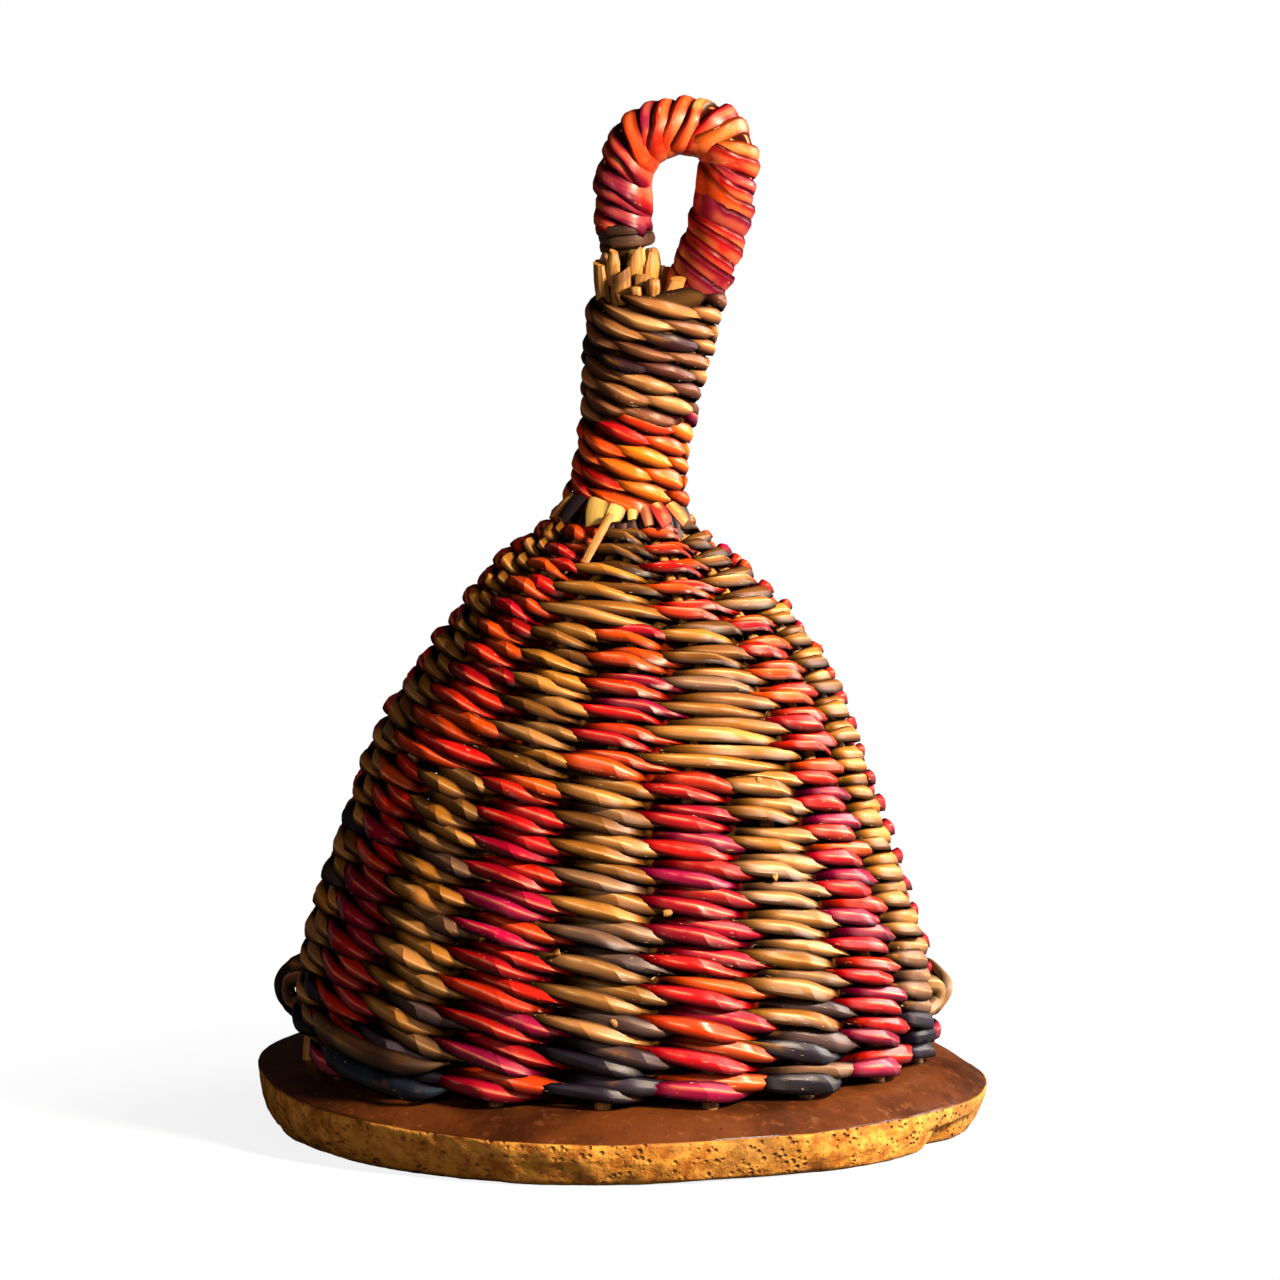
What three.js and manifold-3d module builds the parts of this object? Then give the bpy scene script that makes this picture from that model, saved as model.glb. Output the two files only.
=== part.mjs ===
// A caxixi: a small basket shaker. Reed stakes stand in holes round a gourd base. A doubled red weft and
// a doubled brown weft are twined round the stakes, which gather into a bound neck that carries a wrapped
// finger loop. Loose seeds lie on the gourd inside the basket.
// Millimetres, +Z up, front towards -Y, origin under the middle of the gourd, on the face that it stands on.
import * as THREE from "three";
import Module from "manifold-3d";

// Gourd base
const GOURD_RADIUS = 72;
const GOURD_THICKNESS = 9.4;
const GOURD_DOME = 5.2;
const GOURD_DOME_WIDTH = 14;
const GOURD_UNDERCUT = 4.2;
const GOURD_EDGE_WEAR = 0.5;
const RIM_LIFT = 3.6;
const RIM_LIFT_AZIMUTH = THREE.MathUtils.degToRad(168);
const GOURD_WAVES = [
  { count: 3, depth: 0.8, phase: 0.5 },
  { count: 5, depth: 0.6, phase: 2.1 },
  { count: 8, depth: 0.4, phase: 1.2 },
];
const GOURD_OUTLINE_POINTS = 40;
const SOCKET_DEPTH = 8;

// Bell of the basket, over the gourd: radii of the stakes' own centre line, at shares of the bell's height
const BELL_HEIGHT = 106.4;
const BASE_RADIUS = 60.6;
const BELLY_RADIUS = 58;
const BELLY_SHARE = 0.2011;
const FLANK_RADIUS = 50.5;
const FLANK_SHARE = 0.4267;
const SHOULDER_RADIUS = 42;
const SHOULDER_SHARE = 0.6429;
const CROWN_RADIUS = 26;
const CROWN_SHARE = 0.8637;

// Neck, over the bell: radii of the ring of stakes, the waist at a share of the neck's length
const NECK_LENGTH = 43;
const THROAT_RADIUS = 10.2;
const WAIST_RADIUS = 7.2;
const WAIST_SHARE = 0.3256;
const NECK_RADIUS = 9.5;

// The basket stands a little off the gourd's middle, and it leans to the right from here up its bell
const BASKET_OFFSET = -1.5;
const BEND_SHARE = 0.9154;
const LEAN = THREE.MathUtils.degToRad(9);

// The shoulder of the bell also swells to the right, from here up to the throat
const SWAY = 1.9;
const SWAY_SHARE = 0.53;

// Stakes
const STAKE_COUNT = 18;
const STAKE_RADIUS = 1.9;
const STAKE_SIDES = 4;
const STAKE_STATIONS = 19;
const FIRST_STAKE = THREE.MathUtils.degToRad(-152);
const STUB_LENGTH = 4.5;
const STUB_STAGGER = 1.6;

// Twined weft: in each zone the weft takes the stakes in this many groups, and its courses get finer upwards
const ZONES = [
  { name: "lower", courses: 11, groups: 18, swirl: 0 },
  { name: "middle", courses: 6, groups: 14, swirl: THREE.MathUtils.degToRad(4) },
  { name: "upper", courses: 4, groups: 10, swirl: THREE.MathUtils.degToRad(19) },
];
const WEAVE_SHARE = 0.9624;
const TOP_COURSE_SHARE = 0.8;
const STEP_UP_STAKES = 6;
const PLY_THICKNESS = 1.4;
const CROSSING_WIDTH_SHARE = 0.6;
const WEFT_CLEARANCE = 0.55;
const COURSE_GAP = 0.6;
const GATHER_LENGTH = 24;

// Bindings of the neck and wrapping of the finger loop
const BINDING_SPLIT_SHARE = 0.4651;
const BINDING_THICKNESS = 2.2;
const LOWER_BINDING_PITCH = 2.54;
const UPPER_BINDING_PITCH = 2.31;
const LOOP_LENGTH = 35;
const LOOP_HALF_WIDTH = 10.2;
const LOOP_LEG_SHARE = 0.343;
const LOOP_LEG_DRAW_IN = 0.7;
const LOOP_CORE_RADIUS = 4.1;
const LOOP_CORE_SIDES = 8;
const LOOP_CORE_STEPS = 30;
const LOOP_FOOT_DEPTH = 14;
const LOOP_TAIL_DEPTH = 7.5;
const LOOP_TAIL_RADIUS = 2.6;
const WRAP_THICKNESS = 1.3;
const WRAP_PITCH = 2.9;
const WRAP_END_SHARE = 0.314;
const TURN_STEPS = 10;
const TURN_GAP = 0.6;

// Seeds
const SEED_COUNT = 14;
const SEED_RADIUS = 2.9;
const SEED_LENGTH = 7.4;
const SEED_SPACING = 9.4;
const GOLDEN_ANGLE = Math.PI * (3 - Math.sqrt(5));

// Clearance between pieces that touch
const CLEARANCE = 0.35;

const wasm = await Module();
wasm.setup();

const { smoothstep, lerp } = THREE.MathUtils;

// Finishes
const finish = (color, roughness) => new THREE.MeshStandardMaterial({ color, roughness, metalness: 0 });
const GOURD_SKIN = finish(0x6b3d22, 0.6);
const STRAW = finish(0xc99a4e, 0.65);
const RED_REED = finish(0xc02a1c, 0.4);
const BROWN_REED = finish(0x7d5a2e, 0.4);
const ORANGE_REED = finish(0xd2521a, 0.4);
const SEED_SHELL = finish(0xb9b2a0, 0.35);

const caxixi = new THREE.Group();

function addPiece(name, geometry, material) {
  geometry.computeVertexNormals();
  const mesh = new THREE.Mesh(geometry, material);
  mesh.name = name;
  caxixi.add(mesh);
  return mesh;
}

// A closed skin over a row of rings that all have the same number of points, with a flat cap at each end.
function loft(rings) {
  const sides = rings[0].length;
  const last = (rings.length - 1) * sides;
  const faces = [];
  for (let base = 0; base < last; base += sides)
    for (let i = 0; i < sides; i++) {
      const a = base + i;
      const b = base + ((i + 1) % sides);
      faces.push(a, b, a + sides, b, b + sides, a + sides);
    }
  for (let i = 1; i + 1 < sides; i++) faces.push(0, i + 1, i, last, last + i, last + i + 1);
  return new THREE.BufferGeometry().setFromPoints(rings.flat()).setIndex(faces);
}

// A ring of points round a centre, in the plane of two directions.
function ring(centre, across, upward, radius, sides) {
  return Array.from({ length: sides }, (_, i) => {
    const turn = (2 * Math.PI * i) / sides;
    return centre
      .clone()
      .addScaledVector(across, radius * Math.cos(turn))
      .addScaledVector(upward, radius * Math.sin(turn));
  });
}

function toSolid(geometry) {
  const vertProperties = new Float32Array(geometry.getAttribute("position").array);
  const triVerts = new Uint32Array(geometry.index.array);
  return new wasm.Manifold(new wasm.Mesh({ numProp: 3, vertProperties, triVerts }));
}

function toGeometry(solid) {
  const { vertProperties, triVerts } = solid.getMesh();
  return new THREE.BufferGeometry()
    .setAttribute("position", new THREE.BufferAttribute(vertProperties, 3))
    .setIndex(new THREE.BufferAttribute(triVerts, 1));
}

// Heights, from the gourd up

const FLOOR_HEIGHT = GOURD_THICKNESS + GOURD_DOME;
const THROAT_HEIGHT = FLOOR_HEIGHT + BELL_HEIGHT;
const NECK_HEIGHT = THROAT_HEIGHT + NECK_LENGTH;
const LOOP_TOP = NECK_HEIGHT + LOOP_LENGTH;
const upBell = (share) => lerp(FLOOR_HEIGHT, THROAT_HEIGHT, share);
const upNeck = (share) => lerp(THROAT_HEIGHT, NECK_HEIGHT, share);
const upLoop = (share) => lerp(NECK_HEIGHT, LOOP_TOP, share);

// The bell's profile, from the bottom of the sockets to the top of the neck

const SOCKET_FLOOR = FLOOR_HEIGHT - SOCKET_DEPTH;
const bell = new THREE.SplineCurve(
  [
    [BASE_RADIUS, SOCKET_FLOOR + CLEARANCE],
    [BASE_RADIUS, FLOOR_HEIGHT],
    [BELLY_RADIUS, upBell(BELLY_SHARE)],
    [FLANK_RADIUS, upBell(FLANK_SHARE)],
    [SHOULDER_RADIUS, upBell(SHOULDER_SHARE)],
    [CROWN_RADIUS, upBell(CROWN_SHARE)],
    [THROAT_RADIUS, THROAT_HEIGHT],
    [WAIST_RADIUS, upNeck(WAIST_SHARE)],
    [NECK_RADIUS, NECK_HEIGHT],
  ].map(([radius, height]) => new THREE.Vector2(radius, height)),
);
const bellLength = bell.getLength();

// How far along the bell, as a share of its length, a height lies.
function shareAt(height) {
  let low = 0;
  let high = 1;
  while (high - low > 1e-7) {
    const middle = (low + high) / 2;
    if (bell.getPointAt(middle).y < height) low = middle;
    else high = middle;
  }
  return low;
}

// Where the basket's axis stands at a height: straight up the bell, swelling out at the shoulder, then leaning
// with the neck.
function axisAt(height) {
  const part = THREE.MathUtils.clamp((height - upBell(SWAY_SHARE)) / (THROAT_HEIGHT - upBell(SWAY_SHARE)), 0, 1);
  const sway = SWAY * Math.sin(Math.PI * part) ** 2;
  return BASKET_OFFSET + sway + Math.tan(LEAN) * Math.max(0, height - upBell(BEND_SHARE));
}

function onBell(radius, azimuth, height) {
  return new THREE.Vector3(
    axisAt(height) + radius * Math.cos(azimuth),
    radius * Math.sin(azimuth),
    height,
  );
}

// The bell's surface at a share and an azimuth: a point, the way out and the way up along it.
function wallAt(share, azimuth) {
  const { x: radius, y: height } = bell.getPointAt(share);
  const slope = bell.getTangentAt(share);
  const radial = new THREE.Vector3(Math.cos(azimuth), Math.sin(azimuth), 0);
  const up = radial.clone().multiplyScalar(slope.x).setZ(slope.y);
  const out = radial.clone().multiplyScalar(slope.y).setZ(-slope.x);
  return { point: onBell(radius, azimuth, height), out, up };
}

// Courses of the weft: how far along the bell a course lies, counted in courses from the gourd. Each course
// runs level round the front, and steps up to the next one over its last stakes.

const COURSES = ZONES.reduce((sum, zone) => sum + zone.courses, 0);
const plyReach = STAKE_RADIUS + WEFT_CLEARANCE + PLY_THICKNESS;
const firstDip = plyReach * Math.abs(bell.getTangentAt(shareAt(FLOOR_HEIGHT)).x);
const weaveStart = shareAt(FLOOR_HEIGHT + CLEARANCE + firstDip);
const weaveEnd = shareAt(upBell(WEAVE_SHARE));
const meanPitch = (weaveEnd - weaveStart) / COURSES;
const basePitch = (2 * meanPitch) / (1 + TOP_COURSE_SHARE);
const FINER = (1 - TOP_COURSE_SHARE) / COURSES;

function courseShare(course) {
  return weaveStart + basePitch * (course - (FINER * course ** 2) / 2);
}

function coursePitch(course) {
  return basePitch * bellLength * (1 - FINER * course);
}

function stepUp(stake) {
  return smoothstep(stake, STAKE_COUNT - STEP_UP_STAKES, STAKE_COUNT);
}

function firstCourse(zoneIndex) {
  return ZONES.slice(0, zoneIndex).reduce((sum, zone) => sum + zone.courses, 0);
}

// Stakes: 18 reeds in sockets, evenly spaced at the base and in the neck, gathered in groups between

const STAKE_STEP = (2 * Math.PI) / STAKE_COUNT;
const throatShare = shareAt(THROAT_HEIGHT);
const neckStakeRadius = WAIST_RADIUS * Math.sin(STAKE_STEP / 2) - CLEARANCE / 2;

function stakeRadiusAt(share) {
  return lerp(STAKE_RADIUS, neckStakeRadius, Math.min(1, share / throatShare));
}

function groupOf(zone, stake) {
  return Math.floor((stake * zone.groups) / STAKE_COUNT);
}

function membersOf(zone, group) {
  const stakes = Array.from({ length: STAKE_COUNT }, (_, stake) => stake);
  return stakes.filter((stake) => groupOf(zone, stake) === group);
}

// A stake's azimuth while a zone's weft holds it: beside the other stakes of its group.
function azimuthInZone(zone, stake, share) {
  if (zone.groups === STAKE_COUNT) return FIRST_STAKE + stake * STAKE_STEP + zone.swirl;
  const group = groupOf(zone, stake);
  const members = membersOf(zone, group);
  const place = members.indexOf(stake) - (members.length - 1) / 2;
  const beside = (2 * stakeRadiusAt(share) + CLEARANCE) / bell.getPointAt(share).x;
  const firstGroup = FIRST_STAKE + STAKE_STEP / 2 + zone.swirl;
  return firstGroup + (group * 2 * Math.PI) / zone.groups + place * beside;
}

// Over the gather length past each zone's top, a stake moves across to its place in the next zone.
function azimuthOf(stake, share) {
  const reach = GATHER_LENGTH / bellLength;
  let azimuth = azimuthInZone(ZONES[0], stake, share);
  for (let i = 1; i < ZONES.length; i++) {
    const border = courseShare(firstCourse(i));
    const next = azimuthInZone(ZONES[i], stake, share);
    azimuth = lerp(azimuth, next, smoothstep(share, border, border + reach));
  }
  const inNeck = FIRST_STAKE + stake * STAKE_STEP + ZONES.at(-1).swirl;
  return lerp(azimuth, inNeck, smoothstep(share, weaveEnd, shareAt(upNeck(WAIST_SHARE))));
}

const stakeStations = Array.from({ length: STAKE_STATIONS }, (_, i) => i / (STAKE_STATIONS - 1));
const stakeLines = Array.from({ length: STAKE_COUNT }, (_, stake) =>
  stakeStations.map((share) => wallAt(share, azimuthOf(stake, share)).point),
);

// A point on a stake's own straight-sided centre line.
function onStake(stake, share) {
  const position = share * (STAKE_STATIONS - 1);
  const before = Math.min(Math.floor(position), STAKE_STATIONS - 2);
  const line = stakeLines[stake];
  return line[before].clone().lerp(line[before + 1], position - before);
}

// The radius round the bundled stakes at a height, measured on their straight-sided lines.
function bundleRadiusAt(height) {
  const points = stakeStations.map((share) => bell.getPointAt(share));
  const above = points.findIndex((point) => point.y > height);
  if (above < 1) return NECK_RADIUS + neckStakeRadius;
  const [from, to] = [points[above - 1], points[above]];
  const radius = lerp(from.x, to.x, (height - from.y) / (to.y - from.y));
  return radius + stakeRadiusAt(shareAt(height));
}

// The finger loop: a bent bundle of reeds with its foot at the right of the neck and its tail at the left

const FOOT_HEIGHT = NECK_HEIGHT - LOOP_FOOT_DEPTH;
const footXAt = (height) => bundleRadiusAt(height) - LOOP_CORE_RADIUS - CLEARANCE;
const footX = footXAt(NECK_HEIGHT);
const tailX = -(WAIST_RADIUS - LOOP_TAIL_RADIUS - CLEARANCE);

function inLoop(x, height) {
  return new THREE.Vector3(axisAt(height) + x, 0, height);
}

const loopArch = [0, 30, 60, 90, 120, 150, 180].map(THREE.MathUtils.degToRad).map((turn) => {
  const height = LOOP_TOP - LOOP_HALF_WIDTH * (1 - Math.sin(turn));
  return inLoop(LOOP_HALF_WIDTH * Math.cos(turn), height);
});
const legX = LOOP_HALF_WIDTH - LOOP_LEG_DRAW_IN;
const loopLine = new THREE.CatmullRomCurve3([
  inLoop(footXAt(FOOT_HEIGHT), FOOT_HEIGHT),
  inLoop(footX, NECK_HEIGHT),
  inLoop(legX, upLoop(LOOP_LEG_SHARE)),
  ...loopArch,
  inLoop(-legX, upLoop(LOOP_LEG_SHARE)),
  inLoop(tailX, NECK_HEIGHT),
  inLoop(tailX, NECK_HEIGHT - LOOP_TAIL_DEPTH),
]);

// The loop's bundle is whole along the wrapping and thins out over its tail.
function loopRadiusAt(share) {
  const { z } = loopLine.getPointAt(share);
  const wrapEnd = upLoop(WRAP_END_SHARE);
  if (share < 0.5 || z > wrapEnd) return LOOP_CORE_RADIUS;
  const thinned = Math.min(1, (wrapEnd - z) / (wrapEnd - NECK_HEIGHT));
  return lerp(LOOP_CORE_RADIUS, LOOP_TAIL_RADIUS, thinned);
}

function makeLoopCore() {
  const rings = Array.from({ length: LOOP_CORE_STEPS + 1 }, (_, i) => {
    const share = i / LOOP_CORE_STEPS;
    const ahead = loopLine.getTangentAt(share);
    const across = new THREE.Vector3(0, 1, 0);
    const inward = ahead.clone().cross(across);
    return ring(loopLine.getPointAt(share), inward, across, loopRadiusAt(share), LOOP_CORE_SIDES);
  });
  return loft(rings.map((points) => points.reverse()));
}

// Gourd base: a piece of dried gourd with a wavy outline, domed towards its edge, and a socket for each stake

function gourdRing(height, inset, lift = 0) {
  return Array.from({ length: GOURD_OUTLINE_POINTS }, (_, i) => {
    const turn = (2 * Math.PI * i) / GOURD_OUTLINE_POINTS;
    const waves = GOURD_WAVES.map(({ count, depth, phase }) => depth * Math.cos(count * turn + phase));
    const radius = GOURD_RADIUS - inset + waves.reduce((sum, wave) => sum + wave, 0);
    const raised = height + lift * Math.max(0, Math.cos(turn - RIM_LIFT_AZIMUTH)) ** 2;
    return new THREE.Vector3(radius * Math.cos(turn), radius * Math.sin(turn), raised);
  });
}

function makeGourd() {
  const rings = [
    gourdRing(0, GOURD_UNDERCUT),
    gourdRing(GOURD_THICKNESS / 3, GOURD_UNDERCUT / 4),
    gourdRing(GOURD_THICKNESS - GOURD_EDGE_WEAR, 0, RIM_LIFT),
    gourdRing(GOURD_THICKNESS, GOURD_EDGE_WEAR, RIM_LIFT),
    gourdRing(lerp(GOURD_THICKNESS, FLOOR_HEIGHT, 0.75), GOURD_EDGE_WEAR + GOURD_DOME_WIDTH / 2, RIM_LIFT / 4),
    gourdRing(FLOOR_HEIGHT, GOURD_EDGE_WEAR + GOURD_DOME_WIDTH),
  ];
  const box = new THREE.Box3().setFromPoints(rings.flat());
  const middle = box.getCenter(new THREE.Vector3()).setZ(0);
  rings.flat().forEach((point) => point.sub(middle));
  const socketSides = 8;
  const socketRadius = (STAKE_RADIUS + CLEARANCE) / Math.cos(Math.PI / socketSides);
  const across = new THREE.Vector3(1, 0, 0);
  const upward = new THREE.Vector3(0, 1, 0);
  let solid = toSolid(loft(rings));
  for (const [low, high] of stakeLines) {
    const socketEnds = [SOCKET_FLOOR, FLOOR_HEIGHT + CLEARANCE].map((height) => {
      const centre = low.clone().lerp(high, (height - low.z) / (high.z - low.z));
      return ring(centre, across, upward, socketRadius, socketSides);
    });
    solid = solid.subtract(toSolid(loft(socketEnds)));
  }
  return toGeometry(solid);
}

// A stake ends in a cut stub over the neck, flush with it beside the loop's legs, or under the loop's foot.
function stakeTop(stake) {
  const top = stakeLines[stake].at(-1);
  const beside = LOOP_CORE_RADIUS + neckStakeRadius + CLEARANCE;
  const besideWrap = beside + 2 * WRAP_THICKNESS;
  const underFoot = FOOT_HEIGHT - LOOP_CORE_RADIUS * Math.sin(LEAN) - CLEARANCE;
  const stub = NECK_HEIGHT + STUB_LENGTH + STUB_STAGGER * ((stake % 3) - 1);
  const legRise = (stub - NECK_HEIGHT) / (upLoop(LOOP_LEG_SHARE) - NECK_HEIGHT);
  const fromLeg = ({ x, y }, legCentre) => Math.hypot(x - legCentre.x, y);
  if (fromLeg(top, inLoop(footX, NECK_HEIGHT)) < beside) return underFoot;
  if (top.x < axisAt(NECK_HEIGHT) && Math.abs(top.y) < beside) return NECK_HEIGHT + CLEARANCE;
  const stubEnd = onBell(NECK_RADIUS, azimuthOf(stake, 1), stub);
  if (fromLeg(stubEnd, inLoop(lerp(footX, legX, legRise), stub)) < besideWrap) return NECK_HEIGHT + CLEARANCE;
  return stub;
}

function makeStake(stake) {
  const topHeight = stakeTop(stake);
  const azimuth = azimuthOf(stake, 1);
  const shares = stakeStations.filter((share) => onStake(stake, share).z < topHeight);
  const rings = shares.map((share) => {
    const { out, up } = wallAt(share, azimuthOf(stake, share));
    const across = up.clone().cross(out);
    return ring(onStake(stake, share), out, across, stakeRadiusAt(share), STAKE_SIDES);
  });
  const out = new THREE.Vector3(Math.cos(azimuth), Math.sin(azimuth), 0);
  const across = new THREE.Vector3(-Math.sin(azimuth), Math.cos(azimuth), 0);
  const end =
    topHeight < NECK_HEIGHT
      ? onStake(stake, shareAt(topHeight)).setZ(topHeight)
      : onBell(NECK_RADIUS, azimuth, topHeight);
  rings.push(ring(end, out, across, neckStakeRadius, STAKE_SIDES));
  return loft(rings);
}

// Twined weft: each ply passes in front of one group of stakes, dips under the other ply, passes behind
// the next group and comes up over the other ply again, one course above the other.
// A ply is a split reed with its flat face out, so its section is a low triangle.

function makePly(zoneIndex, ply) {
  const zone = ZONES[zoneIndex];
  const half = PLY_THICKNESS / 2;
  const rings = [];

  // One section: turn 0 is in front of the stakes, a quarter turn back is under the other ply.
  const section = ({ point, out, up }, away, turn, halfWidth) => {
    const outward = out.clone().multiplyScalar(Math.cos(turn)).addScaledVector(up, Math.sin(turn));
    const wide = up.clone().multiplyScalar(Math.cos(turn)).addScaledVector(out, -Math.sin(turn));
    const corner = (across, depth) =>
      point
        .clone()
        .addScaledVector(outward, away + depth)
        .addScaledVector(wide, across);
    rings.push([corner(0, -half), corner(halfWidth, half), corner(-halfWidth, half)]);
  };

  const groups = Array.from({ length: zone.groups }, (_, group) => membersOf(zone, group));
  for (let course = 0; course < zone.courses; course++)
    groups.forEach((members, group) => {
      const passes = course * zone.groups + group + ply;
      const turn = -Math.PI * passes;
      const climbAt = (stake) => firstCourse(zoneIndex) + course + 0.5 + stepUp(stake);
      const halfWidth = (coursePitch(climbAt(members[0])) - COURSE_GAP) / 2;
      for (const stake of members) {
        const share = courseShare(climbAt(stake));
        const wall = wallAt(share, azimuthOf(stake, share));
        const away = stakeRadiusAt(share) + WEFT_CLEARANCE + half;
        section({ ...wall, point: onStake(stake, share) }, away, turn, halfWidth);
      }
      if (course === zone.courses - 1 && group === zone.groups - 1) return;
      const stake = members.at(-1);
      const share = courseShare(climbAt(stake + 0.5));
      const onward = stake + 1 < STAKE_COUNT ? 0 : 2 * Math.PI;
      const nextAzimuth = azimuthOf((stake + 1) % STAKE_COUNT, share) + onward;
      const crossing = wallAt(share, (azimuthOf(stake, share) + nextAzimuth) / 2);
      const aside = half + CLEARANCE / 2;
      section(crossing, aside, turn - Math.PI / 2, halfWidth * CROSSING_WIDTH_SHARE);
    });
  return loft(rings);
}

// A flat strand wound left-handed round a core, as one unbroken tube. Its width follows the room that the
// next turn leaves, so it narrows on the inside of a bend and spreads on the outside.
function wind(name, turns, thickness, coreAt) {
  const steps = turns * TURN_STEPS;
  const faceAt = (step, depth) => {
    const { centre, radius, across, outward } = coreAt(step / steps);
    const turn = (-2 * Math.PI * step) / TURN_STEPS;
    const out = across.clone().multiplyScalar(Math.cos(turn)).addScaledVector(outward, Math.sin(turn));
    const away = (radius + CLEARANCE) / Math.cos(Math.PI / TURN_STEPS) + depth;
    return centre.clone().addScaledVector(out, away);
  };
  const rings = [];
  for (let step = 0; step <= steps; step++) {
    const { along } = coreAt(step / steps);
    const turnsBeside = [step - TURN_STEPS, step + TURN_STEPS].filter((i) => i >= 0 && i <= steps);
    const rooms = [0, thickness].map((depth) => {
      const face = faceAt(step, depth);
      return Math.min(...turnsBeside.map((beside) => Math.abs(faceAt(beside, depth).sub(face).dot(along))));
    });
    const halfWidth = (Math.min(...rooms) - TURN_GAP) / 2;
    const corner = (across, depth) => faceAt(step, depth).addScaledVector(along, across);
    rings.push([
      corner(-halfWidth, 0),
      corner(-halfWidth, thickness),
      corner(halfWidth, thickness),
      corner(halfWidth, 0),
    ]);
  }
  console.log(`${name}: least gap between turns ${leastGap(rings).toFixed(2)} mm`);
  return loft(rings);
}

// The least distance between a tube's section corners and those of its other turns.
function leastGap(rings) {
  let least = Infinity;
  rings.forEach((points, i) =>
    rings.slice(i + TURN_STEPS / 2).forEach((others) => {
      for (const a of points) for (const b of others) least = Math.min(least, a.distanceTo(b));
    }),
  );
  return least;
}

function neckBinding(name, from, to, pitch) {
  const across = new THREE.Vector3(1, 0, 0);
  const outward = new THREE.Vector3(0, 1, 0);
  const along = new THREE.Vector3(0, 0, 1);
  const turns = Math.round((to - from) / pitch);
  const halfPitch = (to - from) / turns / 2;
  return wind(name, turns, BINDING_THICKNESS, (share) => {
    const height = lerp(from, to, share);
    const centre = new THREE.Vector3(axisAt(height), 0, height);
    const radius = Math.max(bundleRadiusAt(height - halfPitch), bundleRadiusAt(height + halfPitch));
    return { centre, radius, across, outward, along };
  });
}

function loopWrap() {
  const shares = Array.from({ length: 2 * LOOP_CORE_STEPS + 1 }, (_, i) => i / (2 * LOOP_CORE_STEPS));
  const onLeg = (share, height) => loopLine.getPointAt(share).z > height;
  const first = shares.find((share) => onLeg(share, NECK_HEIGHT + LOOP_CORE_RADIUS + CLEARANCE));
  const final = shares.findLast((share) => onLeg(share, upLoop(WRAP_END_SHARE)));
  const turns = Math.round(((final - first) * loopLine.getLength()) / WRAP_PITCH);
  const across = new THREE.Vector3(0, 1, 0);
  return wind("finger_loop_wrap", turns, WRAP_THICKNESS, (share) => {
    const place = lerp(first, final, share);
    const along = loopLine.getTangentAt(place);
    const outward = along.clone().cross(across);
    return { centre: loopLine.getPointAt(place), radius: LOOP_CORE_RADIUS, across, outward, along };
  });
}

// Seeds: hard tear-shaped beads that lie on the gourd in a sunflower pattern, each turned its own way

function makeSeed() {
  const outline = [
    [0, 0],
    [0.72, 0.1],
    [1, 0.36],
    [0.8, 0.66],
    [0.36, 0.9],
    [0, 1],
  ].map(([across, along]) => new THREE.Vector2(across * SEED_RADIUS, (along - 0.5) * SEED_LENGTH));
  return new THREE.LatheGeometry(outline, 6);
}

// The object, from the base up

addPiece("gourd_base", makeGourd(), GOURD_SKIN);

for (let stake = 0; stake < STAKE_COUNT; stake++)
  addPiece(`stake_${String(stake + 1).padStart(2, "0")}`, makeStake(stake), STRAW);

ZONES.forEach((zone, i) => {
  addPiece(`red_weft_${zone.name}`, makePly(i, 0), RED_REED);
  addPiece(`brown_weft_${zone.name}`, makePly(i, 1), BROWN_REED);
});

const bindingStart = THROAT_HEIGHT + BINDING_THICKNESS;
const bindingSplit = upNeck(BINDING_SPLIT_SHARE);
const lowerBinding = neckBinding(
  "neck_binding_lower",
  bindingStart,
  bindingSplit,
  LOWER_BINDING_PITCH,
);
const upperBinding = neckBinding(
  "neck_binding_upper",
  bindingSplit + BINDING_THICKNESS,
  NECK_HEIGHT,
  UPPER_BINDING_PITCH,
);
addPiece("neck_binding_lower", lowerBinding, ORANGE_REED);
addPiece("neck_binding_upper", upperBinding, BROWN_REED);
addPiece("finger_loop_core", makeLoopCore(), STRAW);
addPiece("finger_loop_wrap", loopWrap(), RED_REED);

for (let i = 0; i < SEED_COUNT; i++) {
  const seed = addPiece(`seed_${String(i + 1).padStart(2, "0")}`, makeSeed(), SEED_SHELL);
  const radius = SEED_SPACING * Math.sqrt(i + 0.5);
  const azimuth = i * GOLDEN_ANGLE;
  seed.position.set(
    BASKET_OFFSET + radius * Math.cos(azimuth),
    radius * Math.sin(azimuth),
    FLOOR_HEIGHT + SEED_RADIUS + CLEARANCE,
  );
  seed.rotation.z = azimuth + i;
}

export default caxixi;
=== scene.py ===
import math

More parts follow.
